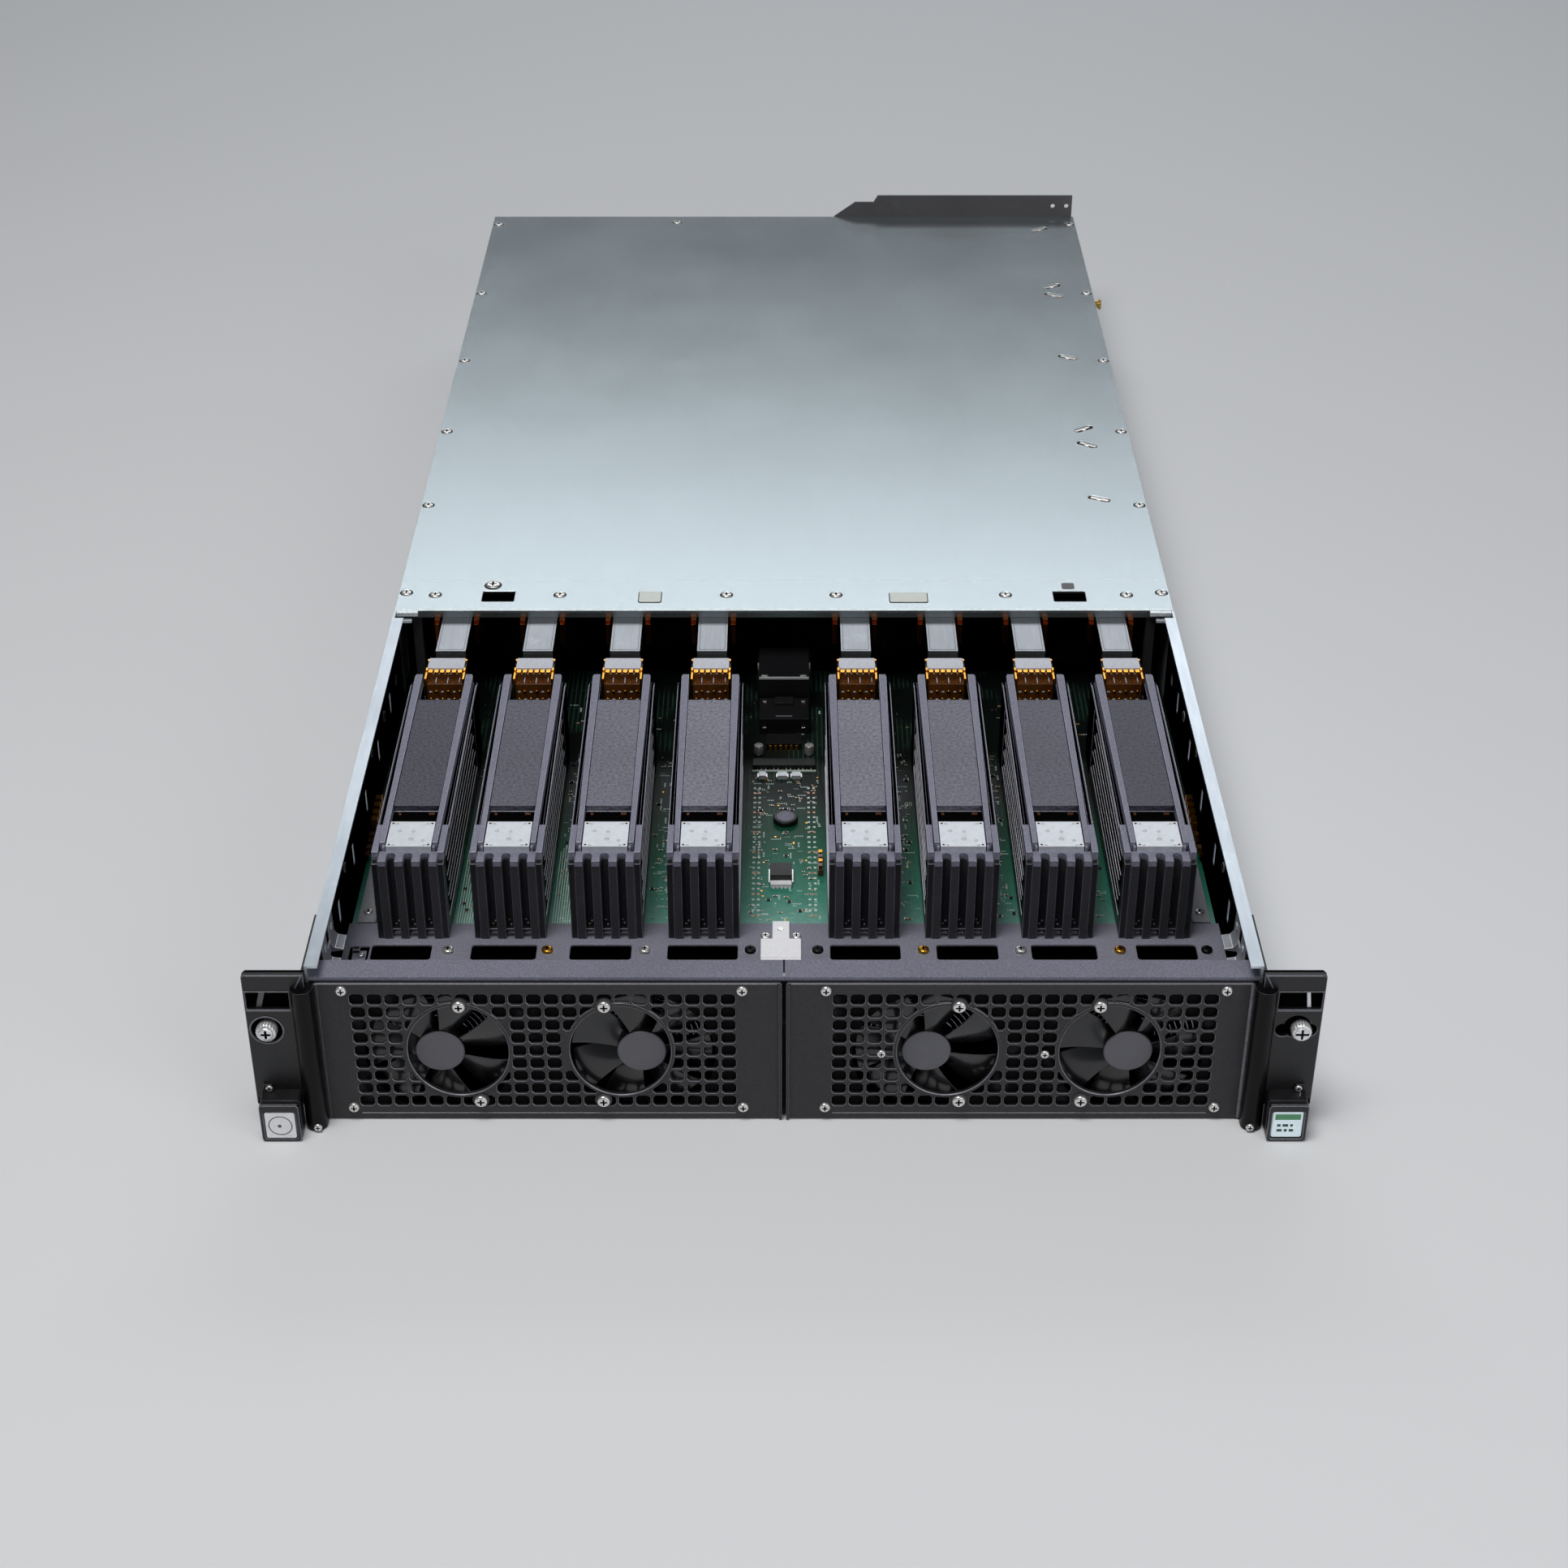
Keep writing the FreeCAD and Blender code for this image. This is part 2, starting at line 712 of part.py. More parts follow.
def make_centre_latch():
    """T-shaped plate on the middle of the deck, with a rivet on each side of its neck."""
    top = deck_top + latch_sheet_top
    base = block(latch_x - latch_base_width / 2, latch_x + latch_base_width / 2,
                 deck_slot_front, latch_base_rear, deck_top, top)
    neck = block(latch_x - latch_neck_width / 2, latch_x + latch_neck_width / 2,
                 latch_base_rear, deck_rear, deck_top, top)
    rivet_y = latch_base_rear + latch_rivet_head
    rivets = [top_screw(latch_x + side * latch_rivet_shift, rivet_y, deck_top, latch_rivet_head)
              for side in (-1, 1)]
    parts["centre_latch"] = Part.makeCompound([join([base, neck])] + rivets)


def make_gpu_baseboard():
    side = wall_inner - board_side_gap
    under = board_top - board_sheet
    rear = mid_wall_y - board_rear_gap
    parts["gpu_baseboard"] = block(-side, side, board_front, rear, under, board_top)
    post_x = wall_inner - post_inset_x
    posts = [standoff(x, y, pan_sheet, under)
             for x in (-post_x, -middle_leg_x, 0, middle_leg_x, post_x)
             for y in (board_front + post_inset_y[0], mid_wall_y - post_inset_y[1])]
    parts["board_standoffs"] = Part.makeCompound(posts)


def make_baseboard_parts():
    """Sockets under the modules, and the larger parts in the middle aisle of the board."""
    sockets = [block(x - socket_width / 2, x + socket_width / 2, socket_front, socket_front + socket_length,
                     board_top, module_floor - seat_gap) for x in module_xs]
    x, y = round_chip
    chips = [rod_z(round_chip_radius, round_chip_height, x, y, board_top)]
    for (x0, x1, y0, y1), height in ((tall_chip, tall_chip_height), (flat_chip, flat_chip_height)):
        chips.append(block(x0, x1, y0, y1, board_top, board_top + height))
    rear = mid_wall_y - aisle_block_gap
    chips.append(block(-aisle_block_width / 2, aisle_block_width / 2, rear - aisle_block_length, rear,
                       board_top, board_top + aisle_block_height))
    parts["baseboard_parts"] = Part.makeCompound(sockets + chips)


def make_side_rails():
    outer = wall_inner - rail_side_gap
    right = block(outer - rail_width, outer, deck_rear + seat_gap, bay_depth - rail_rear_gap,
                  board_top, board_top + rail_height)
    return [right, mirrored(right)]


def make_wall_clips():
    """Bent spring clips at the front end of each wall's inner face."""
    y0, y1 = wall_clip_y
    z0, z1 = wall_clip_z
    leaf = block(wall_inner - wall_sheet, wall_inner, y0, y1, z0, z1)
    toe = block(wall_inner - wall_clip_reach, wall_inner - wall_sheet, y0, y1, z0, z0 + wall_sheet)
    right = join([leaf, toe])
    return [right, mirrored(right)]


def sink_profile(x):
    """Front outline of one heat sink: open slots from the top and grooves along both sides."""
    half = module_width / 2
    points = [(x - half, module_floor), (x + half, module_floor)]
    for i in range(side_groove_count):
        z = side_groove_floor + i * side_groove_pitch
        points += [(x + half, z), (x + half - side_groove_depth, z),
                   (x + half - side_groove_depth, z + side_groove_height), (x + half, z + side_groove_height)]
    points.append((x + half, sink_top))
    for i in (1, 0, -1):
        centre = x + i * module_slot_pitch
        right = centre + module_slot_width / 2
        left = centre - module_slot_width / 2
        points += [(right, sink_top), (right, module_slot_floor), (left, module_slot_floor), (left, sink_top)]
    points.append((x - half, sink_top))
    for i in reversed(range(side_groove_count)):
        z = side_groove_floor + i * side_groove_pitch
        points += [(x - half, z + side_groove_height), (x - half + side_groove_depth, z + side_groove_height),
                   (x - half + side_groove_depth, z), (x - half, z)]
    return points


def make_gpu_module(number, x):
    half = module_width / 2
    inner = module_rail_outer - module_rail_width
    parts["gpu_heatsink_%d" % number] = prism_y(sink_profile(x), module_front, notch_front)
    web = block(x - half, x + half, module_front, module_rear, sink_top, cover_web_top)
    slots = [block(x + i * module_slot_pitch - module_slot_width / 2,
                   x + i * module_slot_pitch + module_slot_width / 2,
                   module_front - 1, web_slot_rear, sink_top - 1, cover_web_top + 1) for i in (-1, 0, 1)]
    sides = []
    for side in (-1, 1):
        a, b = sorted((x + side * inner, x + side * module_rail_outer))
        sides.append(block(a, b, module_rail_front, module_rear, cover_web_top, module_top))
        a, b = sorted((x + side * (half - wing_width), x + side * half))
        sides.append(block(a, b, wing_front, wing_rear, cover_web_top, wing_top))
    plate = block(x - plate_width / 2, x + plate_width / 2, plate_front, plate_rear,
                  cover_web_top, plate_top)
    lid = block(x - lid_width / 2, x + lid_width / 2, lid_front, lid_rear, cover_web_top, lid_top)
    tongue = block(x - cap_width / 2, x + cap_width / 2, module_rear, cap_rear, cap_floor, cover_web_top)
    back = block(x - half, x + half, notch_front, module_rear, module_floor, sink_top)
    cap = block(x - cap_width / 2, x + cap_width / 2, cap_front, cap_rear, cover_web_top, module_top)
    pocket = block(x - pocket_width / 2, x + pocket_width / 2, notch_front + pocket_wall,
                   module_rear - pocket_wall, sink_top - pocket_depth, cover_web_top + 1)
    cover = join([web, plate, lid, back, tongue, cap] + sides)
    parts["gpu_cover_%d" % number] = carve(cover, slots + [pocket])


def make_straps():
    straps = []
    hoods = []
    for x in module_xs:
        hood_front = mid_wall_y - connector_depth
        straps.append(block(x - strap_width / 2, x + strap_width / 2, strap_front, hood_front,
                            strap_top - strap_sheet, strap_top))
        hoods.append(block(x - connector_width / 2, x + connector_width / 2, hood_front, mid_wall_y,
                           strap_top - connector_height, strap_top))
    parts["power_straps"] = Part.makeCompound(straps)
    parts["power_connectors"] = Part.makeCompound(hoods)


def make_mid_wall():
    wall = block(-wall_inner, wall_inner, mid_wall_y, mid_wall_y + mid_sheet, pan_lip_height,
                 cover_under - mid_sheet)
    flange = block(-half_width + cover_seat_width + 1, half_width - cover_seat_width - 1,
                   mid_wall_y - mid_flange, mid_wall_y + mid_sheet, cover_under - mid_sheet, cover_under)
    foot = block(-wall_inner + pan_sheet, wall_inner - pan_sheet, mid_wall_y, mid_wall_y + mid_sheet,
                 pan_sheet, pan_lip_height)
    tools = []
    pitch = 2 * wall_inner / (mid_vent_count + 1)
    for i in range(mid_vent_count):
        x = -wall_inner + (i + 1) * pitch
        tools.append(block(x - mid_vent_width / 2, x + mid_vent_width / 2, mid_wall_y - 2, mid_wall_y + 4,
                           mid_vent_floor, mid_vent_ceiling))
    tools += cover_slot_tools()
    parts["mid_wall"] = carve(join([wall, flange, foot]), tools)


def make_cover_posts():
    """Posts that stand on the board under the cover's front corners."""
    post_top = cover_under
    inner = half_width - cover_seat_width - seat_gap
    post = block(inner - post_width, inner, bay_depth + cover_sheet + seat_gap,
                 bay_depth + cover_sheet + seat_gap + post_depth, board_top, post_top)
    return [post, mirrored(post)]


def make_ear_right():
    outer = ear_outer
    flange = block(half_width, half_width + ear_sheet, 0, ear_flange_length, ear_bottom, ear_top)
    plate = block(half_width, outer, -ear_front_depth, 0, ear_bottom, ear_top)
    column_x = half_width + column_offset
    column = rod_z(column_radius, column_top, column_x, -ear_front_depth, 0)
    column = column.common(block(column_x - column_radius, column_x + column_radius,
                                 -ear_front_depth - column_radius, 0, 0, column_top))
    corner = prism_y([(outer - corner_cut, ear_top), (outer, ear_top - corner_cut), (outer, ear_top)],
                     -ear_front_depth - 1, 1)
    window = block(half_width + window_inset, outer - window_margin, -ear_front_depth - 1, 1,
                   window_bottom, window_top)
    recess = many_sided(round_sides, 2 * knob_recess_radius, ear_front_depth - ear_sheet,
                        FreeCAD.Vector(knob_x, -ear_front_depth, knob_z), FreeCAD.Vector(0, 1, 0))
    bore = rod_y(knob_shank_radius + knob_fit, ear_front_depth + 2, knob_x, -ear_front_depth - 1, knob_z)
    return carve(join([flange, plate, column]), [corner, window, recess, bore])


def make_pod_right():
    """Control housing in front of the foot of the ear, open at the front for its button or screen."""
    y0 = -ear_front_depth - pod_depth
    body = block(pod_x - pod_width / 2, pod_x + pod_width / 2, y0, -ear_front_depth, 0, pod_height)
    front_edges = [edge for edge in body.Edges if abs(edge.tangentAt(edge.FirstParameter).y) > 0.9]
    body = body.makeChamfer(pod_corner_cut, front_edges)
    half = button_size / 2 + seat_gap
    rise = control_height / 2 + seat_gap
    pocket = block(pod_x - half, pod_x + half, y0, y0 + button_pocket, button_z - rise, button_z + rise)
    return body.cut(pocket)


def make_ears():
    right = make_ear_right()
    parts["ear_right"] = right
    parts["ear_left"] = mirrored(right)


def make_controls():
    """The two pods: a push button in the left one and a small screen in the right one."""
    pod = make_pod_right()
    y0 = -ear_front_depth - pod_depth
    half = button_size / 2
    rise = control_height / 2
    stem_hole = rod_y(button_stem_radius + button_fit, pod_depth - 1, -pod_x, y0, button_z)
    parts["control_pod_left"] = mirrored(pod).cut(stem_hole)
    parts["control_pod_right"] = pod
    cap = block(-pod_x - half, -pod_x + half, y0, y0 + button_depth, button_z - rise, button_z + rise)
    stem = rod_y(button_stem_radius, button_stem_length, -pod_x, y0 + button_depth, button_z)
    parts["power_button"] = join([cap, stem])
    parts["status_display"] = block(pod_x - half, pod_x + half, y0 + display_setback, y0 + button_pocket,
                                    button_z - rise, button_z + rise)


def make_thumbscrew():
    knob_back = -ear_sheet - seat_gap
    knob = many_sided(round_sides, 2 * knob_radius, knob_length,
                      FreeCAD.Vector(knob_x, knob_back - knob_length, knob_z), FreeCAD.Vector(0, 1, 0))
    neck = many_sided(8, 2 * knob_neck_radius, -knob_back, FreeCAD.Vector(knob_x, knob_back, knob_z),
                      FreeCAD.Vector(0, 1, 0))
    shank = rod_y(knob_shank_radius, knob_shank_length, knob_x, 0, knob_z)
    return join([knob, neck, shank])


def make_thumbscrews():
    right = make_thumbscrew()
    parts["thumbscrew_right"] = right
    parts["thumbscrew_left"] = mirrored(right)


def make_psu(number, z0, z1):
    x0 = psu_left_x
    x1 = psu_right_x
    face = rear_face + psu_face_proud
    body = block(x0, x1, face - psu_length, face, z0, z1)
    mid_z = (z0 + z1) / 2
    inlet_x = x1 - inlet_inset
    inlet = block(inlet_x - inlet_width / 2, inlet_x + inlet_width / 2, face - inlet_depth, face + 1,
                  mid_z - inlet_height / 2, mid_z + inlet_height / 2)
    handle_x = x0 + handle_inset
    handle_side = handle_x + handle_bar / 2
    posts = [block(handle_x - handle_bar / 2, handle_side, face, face + handle_reach, z, z + handle_bar)
             for z in (z0 + handle_margin, z1 - handle_margin - handle_bar)]
    grip = block(handle_x - handle_bar / 2, handle_x + handle_bar / 2, face + handle_reach - handle_bar,
                 face + handle_reach, z0 + handle_margin, z1 - handle_margin)
    lug_x = x0 + lug_inset
    lug_y = face + lug_reach
    lug_gap = latch_height / 2 + seat_gap
    lugs = [block(lug_x - lug_width / 2, lug_x + lug_width / 2, face, lug_y + lug_width / 2, z, z + lug_sheet)
            for z in (mid_z - lug_gap - lug_sheet, mid_z + lug_gap)]
    pin = rod_z(latch_pin_radius, 2 * lug_gap, lug_x, lug_y, mid_z - lug_gap)
    vent_x = x0 + 2 * lug_inset
    vents = [block(vent_x, vent_x + psu_vent_width, face - psu_vent_depth, face + 1,
                   z0 + rise, z0 + rise + psu_vent_height) for rise in psu_vent_rises]
    body = carve(body, [inlet] + vents)
    parts["psu_%d" % number] = join([body, grip, pin] + posts + lugs)
    low = mid_z - latch_height / 2
    arm = block(lug_x - latch_sheet / 2, lug_x + latch_sheet / 2, lug_y, lug_y + latch_length,
                low, low + latch_height)
    eye_width = 2 * (latch_pin_radius + latch_eye_wall)
    eye = many_sided(8, eye_width, latch_height, FreeCAD.Vector(lug_x, lug_y, low), FreeCAD.Vector(0, 0, 1))
    bore = rod_z(latch_pin_radius + latch_pin_fit, latch_height + 2, lug_x, lug_y, low - 1)
    parts["psu_latch_%d" % number] = join([arm, eye]).cut(bore)


def make_psu_cage():
    front = rear_face - psu_length - cage_front_gap
    back = rear_face - rear_sheet
    bays = psu_bays()
    shelf_z = bays[0][1] + psu_bay_gap
    side = block(cage_left_x, cage_left_x + psu_shelf, front, back, pan_sheet, bays[1][1] + psu_bay_gap)
    shelf = block(cage_left_x + psu_shelf, wall_inner - pan_sheet, front, back, shelf_z, shelf_z + psu_shelf)
    parts["psu_cage"] = join([side, shelf])


def make_cpu_sink(x0, x1, base):
    """A plain extruded heat sink with upright fins, between x0 and x1."""
    top = base + cpu_sink_height
    floor = base + cpu_sink_base
    points = [(x0, base), (x1, base), (x1, top)]
    pitch = (x1 - x0) / cpu_fin_count
    for i in range(cpu_fin_count - 1):
        right = x1 - (i + 1) * pitch + cpu_fin_gap / 2
        points += [(right, top), (right, floor), (right - cpu_fin_gap, floor), (right - cpu_fin_gap, top)]
    points.append((x0, top))
    return prism_y(points, cpu_sink_y, cpu_sink_y + cpu_sink_length)


def make_system_board():
    left = -wall_inner + pan_sheet + board_side_gap
    right = cage_left_x - board_rear_gap
    rear = rear_face - rear_sheet - system_board_rear_gap
    base = system_board_z + board_sheet
    parts["system_board"] = block(left, right, system_board_front, rear, system_board_z, base)
    near, far = system_post_insets
    posts = [standoff(x, y, pan_sheet, system_board_z)
             for x in (left + near, 0.0, right - near) for y in (system_board_front + near, rear - far)]
    parts["board_standoffs"] = Part.makeCompound(parts["board_standoffs"].Solids + posts)
    bank_width = (dimm_bank - 1) * dimm_pitch + dimm_sheet
    first_bank = dimm_side_gap - wall_inner
    second_bank = cage_left_x - dimm_cage_gap - bank_width
    sink_space = second_bank - first_bank - bank_width
    sink_width = (sink_space - 3 * cpu_sink_gap) / 2
    first_sink = first_bank + bank_width + cpu_sink_gap
    second_sink = first_sink + sink_width + cpu_sink_gap
    sinks = [make_cpu_sink(x, x + sink_width, base) for x in (first_sink, second_sink)]
    parts["cpu_heatsinks"] = Part.makeCompound(sinks)
    sticks = []
    for start in (first_bank, second_bank):
        for i in range(dimm_bank):
            x = start + i * dimm_pitch
            sticks.append(block(x, x + dimm_sheet, cpu_sink_y - dimm_setback,
                                cpu_sink_y - dimm_setback + dimm_length, base, base + dimm_height))
    parts["memory_modules"] = Part.makeCompound(sticks)


def export():
    os.makedirs("parts", exist_ok=True)
    shift = FreeCAD.Vector(0, -origin_y, 0)
    for name, shape in parts.items():
        placed = shape.copy()
        placed.translate(shift)
        placed.exportStep("parts/%s.step" % name)


make_base_pan()
make_side_walls()
make_rail_stud()
make_rear_panel()
make_rear_ports()
make_rear_bracket()
make_top_cover()
make_cover_screws()
make_grilles()
make_grille_screws()
make_front_frame()
make_fans()
make_front_deck()
make_deck_screws()
make_centre_latch()
make_gpu_baseboard()
make_baseboard_parts()
parts["bay_brackets"] = Part.makeCompound(make_side_rails() + make_wall_clips() + make_cover_posts())
for index, module_x in enumerate(module_xs):
    make_gpu_module(index + 1, module_x)
make_straps()
make_mid_wall()
make_ears()
make_controls()
make_thumbscrews()
for index, (bay_floor, bay_ceiling) in enumerate(psu_bays()):
    make_psu(index + 1, bay_floor, bay_ceiling)
make_psu_cage()
make_system_board()
export()
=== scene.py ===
import random
from math import cos, hypot, pi, radians, sin, sqrt

import bmesh
import bpy
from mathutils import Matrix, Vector
from mathutils.geometry import delaunay_2d_cdt


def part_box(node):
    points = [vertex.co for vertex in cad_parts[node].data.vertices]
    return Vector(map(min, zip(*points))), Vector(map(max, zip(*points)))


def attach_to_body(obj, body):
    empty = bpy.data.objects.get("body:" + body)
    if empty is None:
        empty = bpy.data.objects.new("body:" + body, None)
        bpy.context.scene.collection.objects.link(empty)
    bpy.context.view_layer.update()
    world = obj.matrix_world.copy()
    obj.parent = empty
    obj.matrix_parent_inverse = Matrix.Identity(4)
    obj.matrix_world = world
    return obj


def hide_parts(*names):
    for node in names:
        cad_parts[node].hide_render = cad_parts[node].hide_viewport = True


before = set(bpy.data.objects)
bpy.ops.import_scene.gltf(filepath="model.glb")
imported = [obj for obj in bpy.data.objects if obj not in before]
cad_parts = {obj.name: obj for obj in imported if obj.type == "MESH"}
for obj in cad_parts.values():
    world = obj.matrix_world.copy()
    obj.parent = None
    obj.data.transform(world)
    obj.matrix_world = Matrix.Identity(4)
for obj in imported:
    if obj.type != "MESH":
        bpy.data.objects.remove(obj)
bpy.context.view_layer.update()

MM = 0.001
SIDES = (-1, 1)
NAMES = {-1: "left", 1: "right"}
UP, TO_FRONT, TO_REAR = (0, 0, 1), (0, -1, 0), (0, 1, 0)
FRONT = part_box("grille_left")[0][1]
rng = random.Random(11)


def corners(node):
    """Low and high corner of a node, in millimetres, with depth 0 at the face of the panels."""
    return [(x / MM, (y - FRONT) / MM, z / MM) for x, y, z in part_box(node)]


def middle(node, axis):
    low, high = corners(node)
    return (low[axis] + high[axis]) / 2


def at(x, y, z):
    return Vector((x * MM, FRONT + y * MM, z * MM))


REAR = corners("rear_panel")[1][1]
SIDE = corners("side_wall_right")[1][0]
WALL = SIDE - 1.2
TOP = corners("top_cover")[1][2]
BAY = corners("top_cover")[0][1]
(_, DECK_FRONT, _), (_, DECK_REAR, DECK) = corners("front_deck")
BOARD = corners("gpu_baseboard")[1][2]
MODULES = [middle("gpu_heatsink_%d" % (i + 1), 0) for i in range(8)]
FANS = [middle("fan_rotor_%d" % (i + 1), 0) for i in range(4)]
FAN_Z = middle("fan_frames", 2)


def span(side, a, b):
    """The stretch between two distances from the middle, on one side of it."""
    return tuple(sorted((side * a, side * b)))


# Materials

M = {}


def srgb(r, g, b):
    def lin(c):
        return c / 12.92 if c <= 0.04045 else ((c + 0.055) / 1.055) ** 2.4
    return (lin(r), lin(g), lin(b), 1.0)


class Tree:
    """The nodes of one material. An input is given as a value or as another node's output."""

    def __init__(self, mat):
        self.nodes, self.links = mat.node_tree.nodes, mat.node_tree.links
        self.shader = self.nodes["Principled BSDF"]
        self.where = self.nodes.new("ShaderNodeTexCoord").outputs["Object"]

    def feed(self, node, inputs):
        for key, value in inputs.items():
            if isinstance(value, bpy.types.NodeSocket):
                self.links.new(value, node.inputs[key])
            else:
                node.inputs[key].default_value = value
        return node

    def add(self, kind, inputs):
        return self.feed(self.nodes.new("ShaderNode" + kind), inputs)

    def noise(self, vector, scale, detail):
        return self.add("TexNoise", {"Vector": vector, "Scale": scale, "Detail": detail}).outputs["Fac"]

    def mapped(self, value, a, b, low, high):
        return self.add("MapRange", {"Value": value, "From Min": a, "From Max": b, "To Min": low,
                                     "To Max": high}).outputs["Result"]

    def mixed(self, kind, factor, first, second):
        node = self.nodes.new("ShaderNodeMix")
        node.data_type = "RGBA"
        node.blend_type = kind
        return self.feed(node, {"Factor": factor, "A": first, "B": second}).outputs["Result"]

    def ramp(self, axis, places):
        """A colour that changes along an axis: places gives millimetres and colours."""
        first, last = (at(0, p, p)[axis] for p in (places[0][0], places[-1][0]))
        parts = self.add("SeparateXYZ", {"Vector": self.where})
        node = self.add("ValToRGB", {"Fac": self.mapped(parts.outputs[axis], first, last, 0.0, 1.0)})
        marks = node.color_ramp.elements
        for k, (place, tone) in enumerate(places):
            f = (at(0, place, place)[axis] - first) / (last - first)
            stop = marks[0] if k == 0 else marks[-1] if k == len(places) - 1 else marks.new(f)
            stop.position = f
            stop.color = srgb(*tone)
        return node.outputs["Color"]


def material(name, colour, rough=0.5, metal=0.0, spread=0.08, grain=900.0, bump=0.1, fine=2500.0,
             streak=(1.0, 1.0, 1.0), coat=0.0, scuff=0.0, glow=0.0, stops=None, shine=0.5, patch=0.09):
    """A painted, moulded or metal surface: mottled colour, uneven gloss, fine bump and rubbed spots.

    stops gives an axis and the colours at places along it, in millimetres, for a colour that changes along
    the object; the board's stops paint a sheen at its front and shade towards its rear, and the front frame's
    stops paint shade below its lip."""
    M[name] = mat = bpy.data.materials.new(name + "_finish")
    mat.use_nodes = True
    tree = Tree(mat)
    grained = tree.add("Mapping", {"Vector": tree.where, "Scale": streak}).outputs[0]
    broad = tree.noise(tree.where, 14.0, 3.0)
    tone = tree.ramp(*stops) if stops else srgb(*colour)
    mottle = tree.mapped(tree.noise(grained, grain, 5.0), 0.3, 0.7, 1 - spread, 1 + spread)
    tone = tree.mixed("MULTIPLY", 1.0, tone, mottle)
    tone = tree.mixed("MULTIPLY", 1.0, tone, tree.mapped(broad, 0.3, 0.7, 1 - spread * 0.8, 1.0))
    if scuff:
        rubbed = tuple(min(1.0, c * 1.6 + 0.08) for c in srgb(*colour)[:3]) + (1.0,)
        tone = tree.mixed("MIX", tree.mapped(tree.noise(tree.where, 75.0, 8.0), 0.60, 0.72, 0.0, scuff),
                          tone, rubbed)
    gloss = tree.mapped(broad, 0.0, 1.0, max(0.03, rough - patch), min(1.0, rough + patch))
    tree.feed(tree.shader, {"Base Color": tone, "Metallic": metal, "Specular IOR Level": shine,
                            "Roughness": gloss})
    if coat:
        tree.feed(tree.shader, {"Coat Weight": coat, "Coat Roughness": 0.12})
    if bump:
        rise = tree.add("Bump",
                        {"Strength": bump, "Distance": 0.0004, "Height": tree.noise(grained, fine, 2.0)})
        tree.feed(tree.shader, {"Normal": rise.outputs["Normal"]})
    if glow:
        tree.feed(tree.shader, {"Emission Color": srgb(*colour), "Emission Strength": glow})


LAVENDER = (0.49, 0.49, 0.55)
DARK = (0.03, 0.03, 0.033)
ZINC = (0.80, 0.83, 0.86)
PAINT = dict(rough=0.56, spread=0.22, grain=1100, bump=0.7, fine=1500, scuff=0.05)
BRUSHED = dict(rough=0.34, metal=0.9, spread=0.06, grain=420, bump=0.05, streak=(1, 0.12, 1), scuff=0.2)
PLATED = dict(rough=0.24, metal=1.0, spread=0.12, grain=700, bump=0.07)
MOULDED = dict(rough=0.40, spread=0.15, grain=900, bump=0.15)
BLACKOUT = dict(rough=0.85, spread=0.3, grain=700, bump=0.2, shine=0.0)
EDGE = dict(rough=0.32, metal=0.35, spread=0.22, grain=500, bump=0.1)
# Lid greys from the middle modules out to the outer ones: the middle lids are painted paler, a painted
# reflection of the light over the middle.
LID_SHEEN_GREYS = (0.48, 0.43, 0.35, 0.27)

for look, colours in (
        (PAINT, {"grille": (0.165, 0.16, 0.175), "deck": (0.50, 0.50, 0.56), "rib": (0.20, 0.20, 0.22),
                 "rail": (0.50, 0.50, 0.57)}),
        # lighter edge colours: painted highlights on chamfers and bevels
        (EDGE, {"cover_edge": (0.90, 0.94, 0.95), "steel_edge": (0.92, 0.95, 0.97),
                "grille_edge": (0.54, 0.54, 0.57), "deck_edge": (0.55, 0.55, 0.60),
                "black_edge": (0.47, 0.47, 0.50), "blade_edge": (0.40, 0.40, 0.43),
                "rib_edge_highlight": (0.42, 0.42, 0.46), "rail_edge_highlight": (0.70, 0.70, 0.77)}),
        (BRUSHED, {"steel": ZINC, "strap": (0.60, 0.61, 0.63), "sink": (0.72, 0.73, 0.74),
                   "supply": (0.60, 0.62, 0.65)}),
        (PLATED, {"gold": (0.90, 0.64, 0.24), "copper": (0.74, 0.42, 0.21), "brass": (0.80, 0.66, 0.36)}),
        (MOULDED, {"chip": (0.05, 0.052, 0.056), "tan": (0.58, 0.46, 0.33), "green": (0.12, 0.50, 0.27)}),
        (BLACKOUT, {"dark": DARK, "pitch": (0.012, 0.012, 0.014)})):
    for name, colour in colours.items():
        material(name, colour, **look)
for number, tone in enumerate(LID_SHEEN_GREYS):
    material("lid_%d" % number, (tone, tone, tone + 0.055), 0.44, spread=0.42, grain=620, bump=1.0, fine=620)
material("cover", (0.68, 0.715, 0.73), 0.25, 0.92, 0.08, 1500, 0.10, 2600, scuff=0.04, patch=0.03)
# The front frame is lavender on its lip and near-black below it; the near-black is painted shade, so the view
# through the vent holes stays dark.
material("frame", LAVENDER, stops=(2, [(0, DARK), (78.6, DARK), (79.4, LAVENDER), (81, LAVENDER)]),
         shine=0.06, **PAINT)
material("pan", ZINC, stops=(2, [(0, ZINC), (0.5, ZINC), (0.9, DARK), (2, DARK)]), **BRUSHED)
material("black", (0.085, 0.085, 0.095), 0.36, spread=0.2, grain=1200, bump=0.3, fine=2200, scuff=0.06)
material("column", (0.03, 0.03, 0.034), 0.3, spread=0.15, grain=700, bump=0.1, fine=1500, shine=0.18)
material("blade", (0.085, 0.085, 0.095), 0.26, spread=0.12, grain=600, bump=0.06, coat=0.5)
material("hub", (0.37, 0.37, 0.395), 0.44, spread=0.06, grain=900, bump=0.12, scuff=0.1)
material("screw", (0.92, 0.91, 0.90), 0.28, 0.85, 0.08, 900, 0.06)
material("screw_dark", (0.14, 0.14, 0.15), 0.32, 0.9, 0.1)
